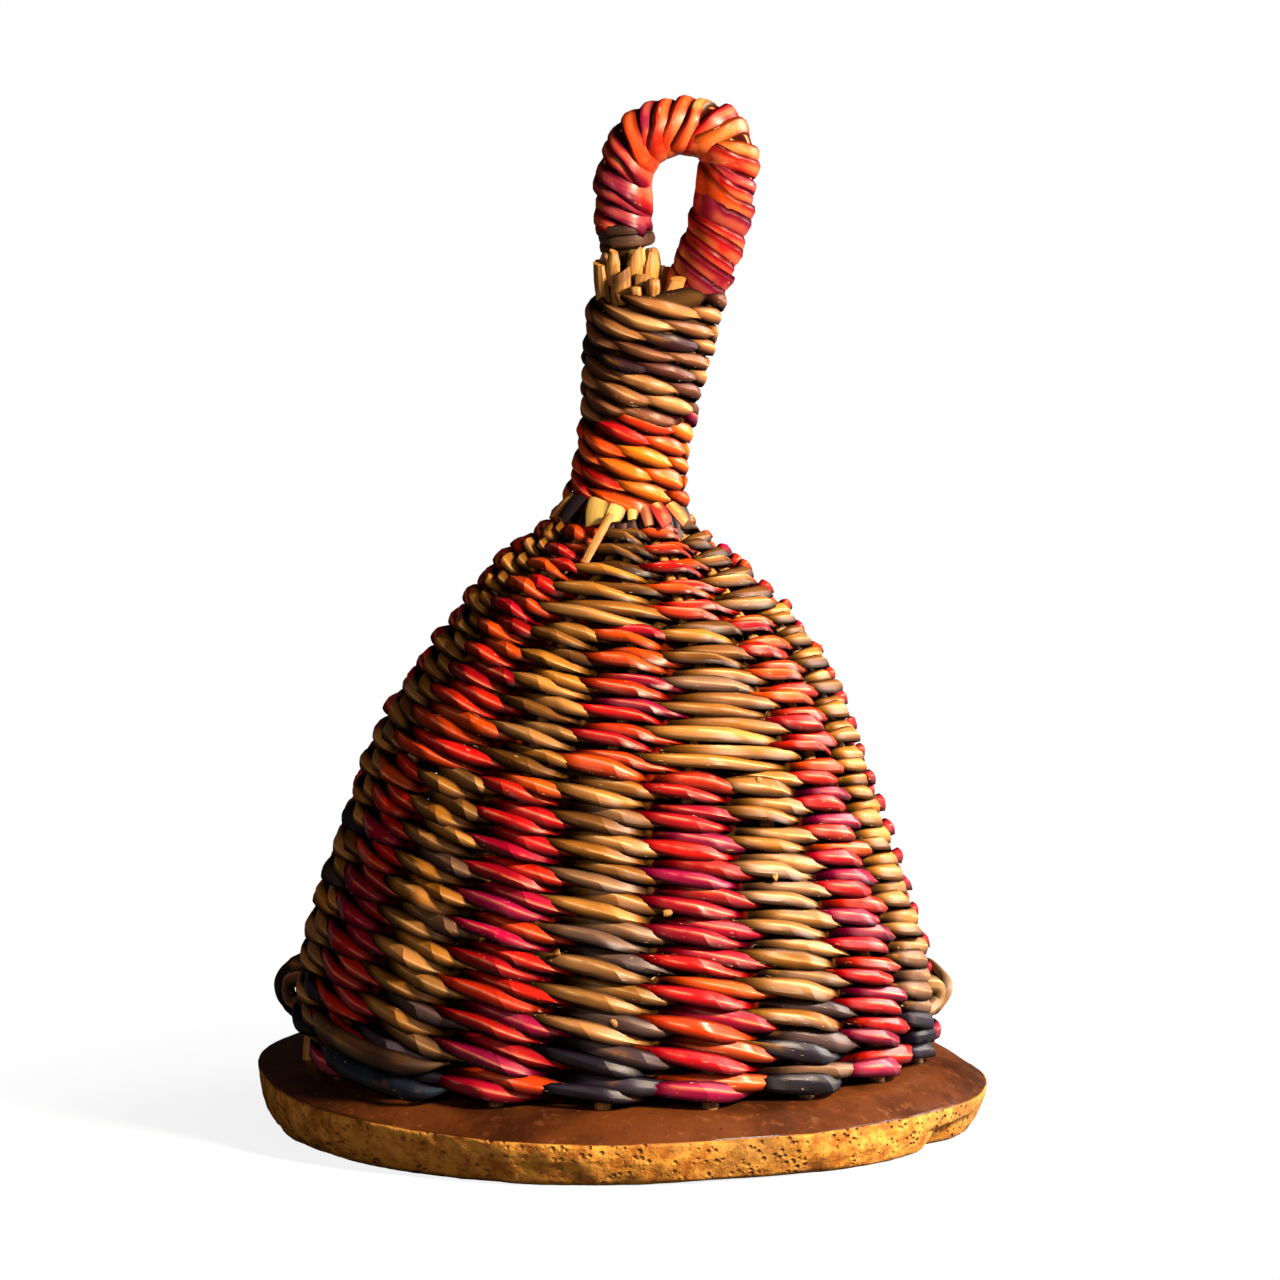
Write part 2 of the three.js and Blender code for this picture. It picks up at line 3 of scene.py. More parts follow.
import bpy
import numpy as np
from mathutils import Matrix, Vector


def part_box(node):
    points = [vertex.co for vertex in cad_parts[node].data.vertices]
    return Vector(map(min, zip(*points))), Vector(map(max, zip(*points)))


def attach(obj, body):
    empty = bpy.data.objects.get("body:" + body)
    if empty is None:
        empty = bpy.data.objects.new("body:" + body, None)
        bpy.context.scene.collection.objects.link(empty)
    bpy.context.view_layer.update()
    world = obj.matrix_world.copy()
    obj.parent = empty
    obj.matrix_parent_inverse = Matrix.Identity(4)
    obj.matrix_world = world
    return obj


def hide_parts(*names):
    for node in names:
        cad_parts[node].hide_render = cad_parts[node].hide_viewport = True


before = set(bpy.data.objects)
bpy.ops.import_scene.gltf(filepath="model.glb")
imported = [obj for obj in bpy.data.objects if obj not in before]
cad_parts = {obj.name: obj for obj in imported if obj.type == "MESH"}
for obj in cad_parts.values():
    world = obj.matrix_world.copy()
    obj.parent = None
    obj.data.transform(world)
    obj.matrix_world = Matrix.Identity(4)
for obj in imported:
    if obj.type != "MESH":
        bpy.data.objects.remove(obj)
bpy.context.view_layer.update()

# Gourd base: a flat piece of dried gourd, sawn out by hand. Its upper face keeps the smooth brown skin, and
# its edge shows the thick ochre cork, pitted and a little undercut. The stakes of the basket stand in it.

GOURD_RADIUS = 0.072
GOURD_THICKNESS = 0.0094
GOURD_DOME = 0.0052
GOURD_DOME_WIDTH = 0.014
FLOOR = GOURD_THICKNESS + GOURD_DOME
GOURD_UNDERCUT = 0.0042
RIM_LIFT = 0.0036
RIM_LIFT_AZIMUTH = math.radians(168)
GOURD_WAVES = ((3, 0.0008, 0.5), (5, 0.0006, 2.1), (8, 0.0004, 1.2))
GOURD_TURNS = 480
SKIN_EDGE = 0.0005
EDGE_ROUNDING = 0.00018
ROUGH_FROM = 0.064
BITE_DEPTH = 0.0011
CHIP_DEPTH = 0.0030
CHIP_AZIMUTH = -0.42
CHIP_WIDTH = 0.10


class Shade:
    """A shader socket with arithmetic: an expression on it adds the Math nodes that work it out."""

    def __init__(self, tree, socket=None):
        self.tree = tree
        self.socket = socket

    def node(self, kind, settings=None, sockets=None, output=0):
        """Adds a node: its settings first, then a number, a colour or a link for each socket."""
        node = self.tree.nodes.new(kind)
        for key, value in (settings or {}).items():
            setattr(node, key, value)
        for key, value in (sockets or {}).items():
            if isinstance(value, Shade):
                self.tree.links.new(value.socket, node.inputs[key])
            else:
                node.inputs[key].default_value = value
        return Shade(self.tree, node.outputs[output] if node.outputs else None)

    def math(self, operation, a, b):
        return self.node("ShaderNodeMath", {"operation": operation}, {0: a, 1: b})

    def __add__(self, other):
        return self.math("ADD", self, other)

    def __sub__(self, other):
        return self.math("SUBTRACT", self, other)

    def __mul__(self, other):
        return self.math("MULTIPLY", self, other)

    def __rsub__(self, other):
        return self.math("SUBTRACT", other, self)

    def between(self, low, high):
        """0 below one value of this socket, 1 above another, and eased between them."""
        sockets = {"Value": self, "From Min": low, "From Max": high}
        return self.node("ShaderNodeMapRange", {"interpolation_type": "SMOOTHSTEP"}, sockets)

    def mix(self, first, second):
        """The first colour where this socket is 0, and the second where it is 1."""
        return self.node("ShaderNodeMix", {"data_type": "RGBA"}, {0: self, 6: first, 7: second}, 2)

    def noise(self, vector, scale, detail, roughness=0.5):
        sockets = {"Vector": vector, "Scale": scale, "Detail": detail, "Roughness": roughness}
        return self.node("ShaderNodeTexNoise", None, sockets)

    def stretch(self, vector, scale):
        return self.node("ShaderNodeMapping", None, {"Vector": vector, "Scale": scale})

    def bump(self, height, distance, strength):
        sockets = {"Height": height, "Distance": distance, "Strength": strength}
        return self.node("ShaderNodeBump", None, sockets)


def bare_finish(name):
    """An empty material, and a pen that writes nodes on it."""
    material = bpy.data.materials.new(name)
    material.use_nodes = True
    material.node_tree.nodes.clear()
    return material, Shade(material.node_tree)


def new_finish(name):
    """A pen for a new material, and a call that puts a Principled shader on it, mixed with a matt one of the
    same colour where it is dulled."""
    material, pen = bare_finish(name)

    def lay_on(sockets, dulled=None):
        surface = pen.node("ShaderNodeBsdfPrincipled", None, sockets)
        if dulled:
            dull = {"Base Color": sockets["Base Color"], "Roughness": 1.0, "Specular IOR Level": 0.0}
            dull = pen.node("ShaderNodeBsdfPrincipled", None, dull)
            surface = pen.node("ShaderNodeMixShader", None, {0: dulled, 1: surface, 2: dull})
        pen.node("ShaderNodeOutputMaterial", None, {"Surface": surface})
        return material

    return pen, lay_on


def paint(code):
    """A linear colour from a six-figure screen colour."""
    screen = np.array([int(code[i:i + 2], 16) for i in (0, 2, 4)]) / 255
    linear = np.where(screen <= 0.04045, screen / 12.92, ((screen + 0.055) / 1.055) ** 2.4)
    return (*linear.tolist(), 1.0)


def lumps(points, size, seed):
    """Smooth noise from -1 to 1: random values on a lattice of cubes of a size, eased between corners."""
    cell = np.asarray(points) / size + 1000
    corner = np.floor(cell).astype(np.int64)
    part = cell - corner
    part = part * part * (3 - 2 * part)
    table = np.random.default_rng(seed).uniform(-1, 1, 4096)
    total = 0
    for step in np.ndindex(2, 2, 2):
        at = corner + step
        value = table[(at[..., 0] * 73 + at[..., 1] * 179 + at[..., 2] * 283) % 4096]
        total = total + value * np.prod(np.where(step, part, 1 - part), axis=-1)
    return total


def new_piece(name, points, blocks, material, lay=None, marks=None, crisp=None):
    """A mesh piece from points and blocks of faces, turned so that its enclosed volume is positive. Edges
    folded by more than a crisp angle in degrees stay sharp."""
    points = np.asarray(points, dtype=np.float64).reshape(-1, 3)
    volume = 0.0
    for block in blocks:
        first = points[block[:, 0]]
        for i in range(1, block.shape[1] - 1):
            volume += np.sum(first * np.cross(points[block[:, i]], points[block[:, i + 1]]))
    if volume < 0:
        blocks = [block[:, ::-1] for block in blocks]
    corners = np.concatenate([block.ravel() for block in blocks]).astype(np.int32)
    lengths = np.concatenate([np.full(len(block), block.shape[1]) for block in blocks])
    mesh = bpy.data.meshes.new(name)
    mesh.vertices.add(len(points))
    mesh.vertices.foreach_set("co", points.ravel())
    mesh.loops.add(len(corners))
    mesh.loops.foreach_set("vertex_index", corners)
    mesh.polygons.add(len(lengths))
    mesh.polygons.foreach_set("loop_start", (np.cumsum(lengths) - lengths).astype(np.int32))
    mesh.update(calc_edges=True)
    mesh.shade_smooth()
    if crisp:
        mesh.set_sharp_from_angle(angle=math.radians(crisp))
    if lay is not None:
        mesh.uv_layers.new(name="lay").data.foreach_set("uv", np.asarray(lay).reshape(-1, 2)[corners].ravel())
    for mark, values in (marks or {}).items():
        values = np.asarray(values)
        if values.ndim > 1 and values.shape[-1] == 3:
            values = np.concatenate([values.reshape(-1, 3), np.ones((len(points), 1))], axis=1)
            mesh.color_attributes.new(mark, "FLOAT_COLOR", "POINT").data.foreach_set("color", values.ravel())
        else:
            mesh.attributes.new(mark, "FLOAT", "POINT").data.foreach_set("value", values.ravel())
    mesh.materials.append(material)
    piece = bpy.data.objects.new(name, mesh)
    bpy.context.scene.collection.objects.link(piece)
    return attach(piece, "shaker")


def ring_faces(points):
    """Quads between neighbouring rings of points, and a cap on both ends, for one run of rings or more."""
    index = np.arange(points.size // 3).reshape(-1, *points.shape[-3:-1])
    beside = np.roll(index, -1, axis=2)
    quads = np.stack([index[:, :-1], beside[:, :-1], beside[:, 1:], index[:, 1:]], axis=-1)
    return [quads.reshape(-1, 4), index[:, 0, ::-1], index[:, -1]]


def gourd_outline(turn):
    """The sawn outline's distance from the middle: the radius with three rows of shallow waves."""
    return GOURD_RADIUS + sum(depth * np.cos(count * turn + phase) for count, depth, phase in GOURD_WAVES)


def gourd_skin_and_cork():
    """Rings of the outline carried from the middle of the under face, round the edge, to the middle of the
    skin. The edge is rough, bitten below and chipped at one place, and the rim lifts at the left."""
    turn = np.linspace(0, 2 * np.pi, GOURD_TURNS, endpoint=False)
    edge = gourd_outline(turn)
    shift_x = (np.max(edge * np.cos(turn)) + np.min(edge * np.cos(turn))) / 2
    shift_y = (np.max(edge * np.sin(turn)) + np.min(edge * np.sin(turn))) / 2
    under_share = np.array([0.02, 0.5, 0.8, 0.92, 0.96, 0.985, 1.0])
    under_height = np.array([0, 0, 0, 0, 0, 0, 0.00045])
    rise = np.linspace(0.0009, GOURD_THICKNESS - SKIN_EDGE, 16)
    inset = GOURD_UNDERCUT * (1 - rise / GOURD_THICKNESS) ** 1.7
    over = np.array([0.0006, 0.0012, 0.002, 0.0035, 0.0055, 0.008, 0.011, 0.0146])
    to_rim = np.clip(1 - (over - SKIN_EDGE) / GOURD_DOME_WIDTH, 0, 1) ** 2
    dome = FLOOR - GOURD_DOME * to_rim
    inner = np.array([0.6, 0.3, 0.02])
    share = np.concatenate([under_share, np.ones(len(rise) + 1 + len(over)), inner])
    undercut = np.full(len(under_share), GOURD_UNDERCUT)
    depth = np.concatenate([undercut, inset, [EDGE_ROUNDING], over, np.full(3, over[-1])])
    top_edge = [GOURD_THICKNESS - EDGE_ROUNDING]
    height = np.concatenate([under_height, rise, top_edge, dome, np.full(3, FLOOR)])
    radius = (edge - depth[:, None]) * share[:, None]
    level = np.broadcast_to(height[:, None], radius.shape)
    rings = np.stack([radius * np.cos(turn) - shift_x, radius * np.sin(turn) - shift_y, level], axis=-1)
    cork = np.where(level < GOURD_THICKNESS - 0.0004, 1.0, 0.0)
    reach = np.hypot(rings[..., 0], rings[..., 1])
    onto_edge = np.clip((reach - ROUGH_FROM) / 0.003, 0, 1) * (rings[..., 2] < GOURD_THICKNESS - 0.0003)
    rough = 0.00035 * lumps(rings, 0.0035, 3) + 0.00022 * lumps(rings, 0.0014, 4)
    rough = rough + 0.0006 * lumps(rings, 0.012, 5)
    bites = -BITE_DEPTH * np.clip(lumps(rings * (1, 1, 0.6), 0.009, 6) - 0.25, 0, 1) * (rings[..., 2] < 0.005)
    from_chip = np.angle(np.exp(1j * (turn - CHIP_AZIMUTH)))
    chipped = -CHIP_DEPTH * np.exp(-(from_chip / CHIP_WIDTH) ** 2) * (rings[..., 2] < 0.0052)
    push = 1 + onto_edge * (rough + bites + chipped) / np.maximum(reach, 0.001)
    rings[..., :2] *= push[..., None]
    lifted = np.clip(lumps(rings, 0.016, 8), -1, 1) * 0.0005 * (rings[..., 2] < 0.0006) * (reach > 0.045)
    rings[..., 2] += np.maximum(lifted, 0)
    wear_and_painted_highlight = 0.00035 * lumps(rings, 0.006, 9) * (rings[..., 2] > GOURD_THICKNESS - 0.0006) * (reach > 0.068)
    rings[..., 2] += np.minimum(wear_and_painted_highlight, 0)
    edge_lift = np.clip((rise / GOURD_THICKNESS - 1 / 3) * 1.5, 0, 1)
    lift = np.concatenate([np.zeros(len(under_share)), edge_lift, [1.0], to_rim, np.zeros(3)])
    rings[..., 2] += RIM_LIFT * lift[:, None] * np.maximum(0, np.cos(turn - RIM_LIFT_AZIMUTH)) ** 2
    return rings, cork


def gourd_finish():
    """Brown skin blotched with lighter and dusty patches, and ochre cork with dark pits, by the cork mark."""
    pen, lay_on = new_finish("gourd skin and cork")
    place = pen.node("ShaderNodeTexCoord", output=3)
    cork = pen.node("ShaderNodeAttribute", {"attribute_name": "cork"}, output=2)
    blotch = pen.noise(place, 55.0, 5.0, 0.6)
    fleck = pen.noise(place, 420.0, 4.0, 0.6)
    skin = blotch.between(0.35, 0.62).mix(paint("301304"), paint("522508"))
    skin = (fleck.between(0.55, 0.75) * 0.7).mix(skin, paint("6a3a1c"))
    skin = pen.noise(place, 900.0, 2.0).between(0.66, 0.74).mix(skin, paint("331604"))
    grain = pen.noise(place, 260.0, 6.0, 0.65)
    pits = pen.node("ShaderNodeTexVoronoi", None, {"Vector": place, "Scale": 620.0, "Randomness": 1.0})
    pit_patch = pen.noise(place, 170.0, 3.0).between(0.42, 0.6)
    pit = (1 - pits.between(0.12, 0.42)) * pit_patch
    patch = pen.noise(place, 38.0, 4.0, 0.55).between(0.5, 0.66)
    flesh = grain.between(0.34, 0.64).mix(paint("985008"), paint("d68c30"))
    flesh = (patch * 0.5).mix(flesh, paint("7a5a24"))
    flesh = (pit * 0.4).mix(flesh, paint("5a2c06"))
    colour = cork.mix(skin, flesh)
    rough = cork * 0.42 + 0.38 + (blotch - 0.5) * 0.3
    height = cork * (grain * 0.8 - pit * 0.7) + (1 - cork) * (blotch * 0.25 + fleck * 0.12)
    return lay_on({
        "Base Color": colour,
        "Roughness": rough,
        "Normal": pen.bump(height, 0.0011, 0.9),
        "Specular IOR Level": 0.25,
    })


rings, cork = gourd_skin_and_cork()
gourd = new_piece("gourd", rings, ring_faces(rings), gourd_finish(), marks={"cork": cork})
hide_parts("gourd_base")

# Stakes: 18 straw-coloured reeds, pushed into holes round the gourd. They rise inside the weave, are gathered
# into pairs and then into the neck, and end in cut stubs over it. Only glimpses of them show between the
# strands. The zones are lengths of weave: name, courses, groups of stakes, and turn of the groups.

BELL_HEIGHT = 0.1064
NECK_LENGTH = 0.043
THROAT = FLOOR + BELL_HEIGHT
NECK_TOP = THROAT + NECK_LENGTH
BELL_POINTS = (
    (0.0606, FLOOR - 0.00765),
    (0.0606, FLOOR),
    (0.058, FLOOR + 0.2011 * BELL_HEIGHT),
    (0.0505, FLOOR + 0.4267 * BELL_HEIGHT),
    (0.042, FLOOR + 0.6429 * BELL_HEIGHT),
    (0.026, FLOOR + 0.8637 * BELL_HEIGHT),
    (0.0102, THROAT),
    (0.0072, THROAT + 0.3256 * NECK_LENGTH),
    (0.0095, NECK_TOP),
)
BASKET_OFFSET = -0.0015
BEND_HEIGHT = FLOOR + 0.9154 * BELL_HEIGHT
LEAN = math.radians(9)
SWAY = 0.0019
SWAY_FROM = FLOOR + 0.53 * BELL_HEIGHT
STAKE_COUNT = 18
STAKE_RADIUS = 0.0019
NECK_STAKE_RADIUS = 0.00107
STAKE_STEP = 2 * math.pi / STAKE_COUNT
FIRST_STAKE = math.radians(-152)
ZONES = (
    ("lower", 11, 18, 0.0),
    ("middle", 6, 14, math.radians(4)),
    ("upper", 4, 10, math.radians(19)),
    ("collar", 1, 10, math.radians(19)),
)
COURSES = sum(zone[1] for zone in ZONES[:3])
FINER = (1 - 0.8) / COURSES
STEP_UP_STAKES = 6
GATHER_LENGTH = 0.024
CLEARANCE = 0.00035


def read_off(place, knots, rows):
    """Rows of values at places between knots, by straight lines from knot to knot."""
    return np.stack([np.interp(place, knots, column) for column in rows.T], axis=-1)


def unit(vectors):
    return vectors / np.linalg.norm(vectors, axis=-1, keepdims=True)


def smooth_line(points, exponent, samples=3000):
    """A smooth cubic line through points, its knots set by chord length to a power, in even steps."""
    points = np.asarray(points, dtype=float)
    points = np.concatenate([2 * points[:1] - points[1:2], points, 2 * points[-1:] - points[-2:-1]])
    chords = np.linalg.norm(np.diff(points, axis=0), axis=1) ** exponent
    spans = len(points) - 3
    along = np.linspace(0, spans, samples)
    span = np.minimum(along.astype(int), spans - 1)
    u = (along - span)[:, None]
    p0, p1, p2, p3 = (points[span + i] for i in range(4))
    d0, d1, d2 = (chords[span + i][:, None] for i in range(3))
    m1 = d1 * ((p1 - p0) / d0 - (p2 - p0) / (d0 + d1) + (p2 - p1) / d1)
    m2 = d1 * ((p2 - p1) / d1 - (p3 - p1) / (d1 + d2) + (p3 - p2) / d2)
    line = p1 + m1 * u + (3 * (p2 - p1) - 2 * m1 - m2) * u**2 + (m1 + m2 - 2 * (p2 - p1)) * u**3
    length = np.concatenate([[0], np.cumsum(np.linalg.norm(np.diff(line, axis=0), axis=1))])
    even = np.linspace(0, length[-1], samples)
    return read_off(even, length, line), length[-1]


bell_line, bell_length = smooth_line(BELL_POINTS, 0)
bell_slope = unit(np.gradient(bell_line, axis=0))
bell_share = np.linspace(0, 1, len(bell_line))


def share_at(height):
    """How far along the bell's profile a height lies."""
    return np.interp(height, bell_line[:, 1], bell_share)


def ease(value, low, high):
    """0 below low, 1 above high, smooth between."""
    part = np.clip((value - low) / (high - low), 0, 1)
    return part * part * (3 - 2 * part)


def axis_at(height):
    """The basket's axis: upright in the bell, to the right at the shoulder, and leaning with the neck."""
    sway = SWAY * np.sin(np.pi * np.clip((height - SWAY_FROM) / (THROAT - SWAY_FROM), 0, 1)) ** 2
    return BASKET_OFFSET + sway + math.tan(LEAN) * np.maximum(0, height - BEND_HEIGHT)


def wall_radius(share):
    return np.interp(share, bell_share, bell_line[:, 0])


def wall_at(share, azimuth):
    """The bell's surface at a share of its profile: points, the way out of it and the way up along it."""
    radius, height, slope_r, slope_z = (
        np.interp(share, bell_share, values) for values in (*bell_line.T, *bell_slope.T)
    )
    cos, sin = np.cos(azimuth), np.sin(azimuth)
    points = np.stack([axis_at(height) + radius * cos, radius * sin, height], axis=-1)
    out = np.stack([slope_z * cos, slope_z * sin, -slope_r], axis=-1)
    up = np.stack([slope_r * cos, slope_r * sin, slope_z], axis=-1)
    return points, out, up


weave_start = share_at(FLOOR + 0.0005)
weave_end = share_at(FLOOR + 0.9624 * BELL_HEIGHT)
base_pitch = 2 * (weave_end - weave_start) / COURSES / 1.8


def course_share(course):
    """Courses counted from the gourd: each a little finer than the one below."""
    return weave_start + base_pitch * (course - FINER * course**2 / 2)


def stake_radius(share):
    return np.interp(share, [0, share_at(THROAT)], [STAKE_RADIUS, NECK_STAKE_RADIUS])


def group_ends(groups, group):
    """The first and the last stake of a group, where the stakes are shared out among so many groups."""
    first = -(-group * STAKE_COUNT // groups)
    last = -(-(group + 1) * STAKE_COUNT // groups) - 1
    return first, last


def stake_azimuth(stake, share):
    """A stake's azimuth: even round the base, side by side in its group higher up, even again in the neck."""
    azimuth = FIRST_STAKE + stake * STAKE_STEP
    border = 0
    radius = wall_radius(share)
    for (_, courses, _, _), (_, _, groups, swirl) in zip(ZONES, ZONES[1:]):
        border += courses
        group = stake * groups // STAKE_COUNT
        first, last = group_ends(groups, group)
        beside = (stake - (first + last) / 2) * (2 * stake_radius(share) + CLEARANCE) / radius
        there = FIRST_STAKE + STAKE_STEP / 2 + swirl + group * 2 * math.pi / groups + beside
        edge = course_share(border)
        azimuth = azimuth + (there - azimuth) * ease(share, edge, edge + GATHER_LENGTH / bell_length)
    in_neck = FIRST_STAKE + stake * STAKE_STEP + ZONES[-1][3]
    gathered = ease(share, weave_end, share_at(BELL_POINTS[7][1]))
    return azimuth + (in_neck - azimuth) * gathered


def sweep(centres, wide, face, half_width, half_thick, section):
    """A section carried along a path: each point moves by its share of the width and of the thickness."""
    half_width = np.broadcast_to(half_width, centres.shape[:-1])[..., None, None]
    half_thick = np.broadcast_to(half_thick, centres.shape[:-1])[..., None, None]
    across = section[:, 0][:, None] * half_width * wide[..., None, :]
    depth = section[:, 1][:, None] * half_thick * face[..., None, :]
    return centres[..., None, :] + across + depth


def new_strand(name, path, skin, material, marks=None, crisp=None):
    """A piece of one strand or more, with a map for its fibres: metres along it, and turns round it."""
    strides = np.linalg.norm(np.diff(path, axis=-2), axis=-1)
    run = np.cumsum(np.concatenate([np.zeros((*path.shape[:-2], 1)), strides], axis=-1), axis=-1)
    round_it = np.arange(skin.shape[-2]) / skin.shape[-2]
    lay = np.stack(np.broadcast_arrays(run[..., None], round_it), axis=-1)
    return new_piece(name, skin, ring_faces(skin), material, lay, marks, crisp)


def straw_finish():
    """Dry straw: pale ochre with long darker fibres, a soft sheen and fine ridges along the stem."""
    pen, lay_on = new_finish("dry straw")
    lay = pen.node("ShaderNodeUVMap", {"uv_map": "lay"})
    place = pen.node("ShaderNodeTexCoord", output=3)
    fibre = pen.noise(pen.stretch(lay, (120.0, 14.0, 1.0)), 1.0, 4.0, 0.6)
    stain = pen.noise(place, 160.0, 3.0)
    colour = fibre.between(0.3, 0.7).mix(paint("824810"), paint("ba7e32"))
    colour = (stain.between(0.5, 0.7) * 0.7).mix(colour, paint("5a2e0a"))
    return lay_on({
        "Base Color": colour,
        "Roughness": fibre * 0.3 + 0.42,
        "Normal": pen.bump(fibre, 0.0004, 0.7),
        "Specular IOR Level": 0.4,
    })


straw = straw_finish()
STEM_SIDES = 10
STAKE_STATIONS = 60
SLIMMER = 0.94
STUB_LEAN = 0.12
stem_turn = np.linspace(0, 2 * np.pi, STEM_SIDES, endpoint=False) - np.pi / 2
round_stem = np.stack([np.cos(stem_turn), np.sin(stem_turn)], axis=1)
for stake in range(STAKE_COUNT):
    node = f"stake_{stake + 1:02d}"
    top = float(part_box(node)[1][2])
    shares = np.linspace(0, float(share_at(min(top, NECK_TOP))), STAKE_STATIONS)
    line, out, up = wall_at(shares, stake_azimuth(np.int64(stake), shares))
    girth = stake_radius(shares) * SLIMMER
    if top > NECK_TOP + 0.001:
        rise = np.array([0.4, 0.75, 1.0])[:, None] * (top - NECK_TOP)
        line = np.concatenate([line, line[-1:] + rise * (up[-1:] + out[-1:] * STUB_LEAN)])
        out, up = (np.concatenate([way, way[[-1, -1, -1]]]) for way in (out, up))
        girth = np.concatenate([girth, girth[-1] * np.array([1.2, 1.35, 1.2])])
    across = np.cross(up, out)
    stem = sweep(line, out, across, girth, girth, round_stem)
    piece = new_strand(f"straw_{node}", line, stem, straw)
    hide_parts(node)

# Twined weft: two doubled strands of split reed, one dyed red and one brown. Each pair passes in front of a
# stake, dips under the other pair and passes behind the next stake, so the two colours stand in upright
# columns. A last course, the collar, closes the weave under the neck's binding.

REED_THICKNESS = 0.0015
REED_GAP = 0.0009
FRONT_STEPS = 18
BACK_STEPS = 14
TIP_OVERLAP = 0.085
CROSSING_TWIST = math.radians(36)
CREASE_SLANT = 0.07
LANES = np.array([[-1.0], [1.0]])
LANE_LEAD = 0.13
LANE_OFFSET = 0.5
LANE_DEPTH = 0.0003
REED_HALF_WIDTH = 0.305
REED_FALL = 0.345
PASS_LENGTH = 0.017
RED_SHEEN = (1.0, 0.62, 0.45, 1.0)
TAN_SHEEN = (1.0, 0.82, 0.66, 1.0)
REED_SECTION = np.array([
    (0.0, -0.6), (0.84, -0.45), (1.0, 0.05), (0.66, 0.62), (0.06, 1.0),
    (-0.06, 0.98), (-0.64, 0.56), (-1.0, 0.0), (-0.84, -0.45),
])
RIDGE = slice(4, 6)
RED_DYES = ("8c0430", "a8041a", "bc0a0c", "cc1e06", "d84408")
BROWN_DYES = ("120e16", "342a34", "6a4834", "aa6c30", "a8641a", "8a4e14", "5e340e")


def twine(step, ply, base, out, up, swing_out, swing_up, half_width, half_thick, rng, lanes=LANES,
          twist=CROSSING_TWIST, overlap=TIP_OVERLAP):
    """Reeds that pass in front of a group of stakes in one step and behind the next group in the next step.
    In front a reed is a pointed leaf that runs down to the right, its tips a little past the crossings: it
    comes out slowly to a slanting crease past its middle, and turns in again more sharply. Behind it is broad
    and climbs back. Its face only turns on edge near a crossing, the ridge of its fold runs from its upper
    edge to its lower edge, and the two lanes of a strand lie half a course apart."""
    passes = int(step[-1])
    cycle = step - LANE_LEAD * lanes + ply + overlap
    pair = np.floor(cycle / 2)
    cycle = cycle - 2 * pair
    in_front = cycle < 1 + 2 * overlap
    part = np.where(in_front, cycle / (1 + 2 * overlap), (cycle - 1 - 2 * overlap) / (1 - 2 * overlap))
    number = np.clip(2 * pair - ply + ~in_front, 0, passes - 1).astype(int)
    row = np.broadcast_to(np.arange(len(lanes))[:, None], number.shape)

    def each(middle, spread):
        return rng.normal(middle, spread, (len(lanes), passes))[row, number]

    crease = np.clip(each(0.6, 0.08), 0.42, 0.76)
    tent = np.clip(np.minimum(part / crease, (1 - part) / (1 - crease)), 0, 1)
    hump = (0.66 * tent + 0.34 * (1 - (1 - tent) ** 2)) * each(1.0, 0.07)
    forth = np.where(in_front, 0.16 + 0.84 * hump, 0.16 - 1.1 * np.sin(np.pi * part)) * swing_out
    forth = forth - LANE_DEPTH * lanes
    fall = np.where(in_front, 1 - 2 * part, 2 * part - 1)
    slack = 1 - np.abs(fall)
    turn = -twist * np.sign(fall) * np.abs(fall) ** 2.2
    turn = turn + np.where(in_front, each(-0.2, 0.16), 0) * slack
    cos, sin = np.cos(turn)[..., None], np.sin(turn)[..., None]
    wide = cos * up + sin * out
    face = cos * out - sin * up
    point_in = 0.4 + 0.6 * np.clip(part / 0.46, 0, 1) ** 0.8
    point_out = 0.32 + 0.68 * np.clip((1 - part) / 0.36, 0, 1) ** 0.8
    behind = 0.95 + 1.05 * ease(np.minimum(part, 1 - part), 0.0, 0.25)
    leaf = np.minimum(point_in, point_out) * np.clip(each(1.06, 0.1), 0.9, 1.3)
    width = half_width * np.where(in_front, leaf, behind)
    rise = fall * swing_up + each(0.0, 0.00022) * slack
    centre = base + forth[..., None] * out + rise[..., None] * up
    centre = centre + (lanes * half_width * LANE_OFFSET)[..., None] * wide
    bared = np.where(in_front, ease(part, 0.04, 0.36) * ease(1 - part, 0.0, 0.16), 0.05)
    skin = sweep(centre, wide, face, width, half_thick, REED_SECTION)
    ridge = np.where(in_front, 0.55 - 1.0 * part + each(0.0, 0.14), 0) * width
    skin[..., RIDGE, :] += ridge[..., None, None] * wide[..., None, :]
    ahead = np.gradient(centre, axis=-2) / np.gradient(step)[:, None]
    ahead = ahead - np.sum(ahead * out, axis=-1, keepdims=True) * out
    lead = np.where(in_front, CREASE_SLANT * ease(tent, 0.0, 0.7), 0)[..., None] * REED_SECTION[:, 0]
    skin -= lead[..., None] * ahead[..., None, :]
    return centre, skin, number, bared


def blend_dyes(codes, place):
    """Colours along a row of dyes, by a place from 0 to 1."""
    colours = np.array([paint(code)[:3] for code in codes])
    stops = np.linspace(0, 1, len(codes))
    place = np.clip(place, 0, 1)
    return read_off(place, stops, colours)


def all_round(dye_and_painted_shade, sides):
    """A strand's dye, the same at each point round its section."""
    return np.repeat(dye_and_painted_shade[..., None, :], sides, axis=-2)


def reed_marks(dye_and_painted_shade, bared):
    """A reed's dye, darkened by painted shade where tucked, and how far it is tucked under the others, for
    each point of its skin.
    """
    sides = len(REED_SECTION)
    return {"dye_and_painted_shade": all_round(dye_and_painted_shade, sides), "tucked": np.repeat(1 - bared[..., None], sides, axis=-1).ravel()}


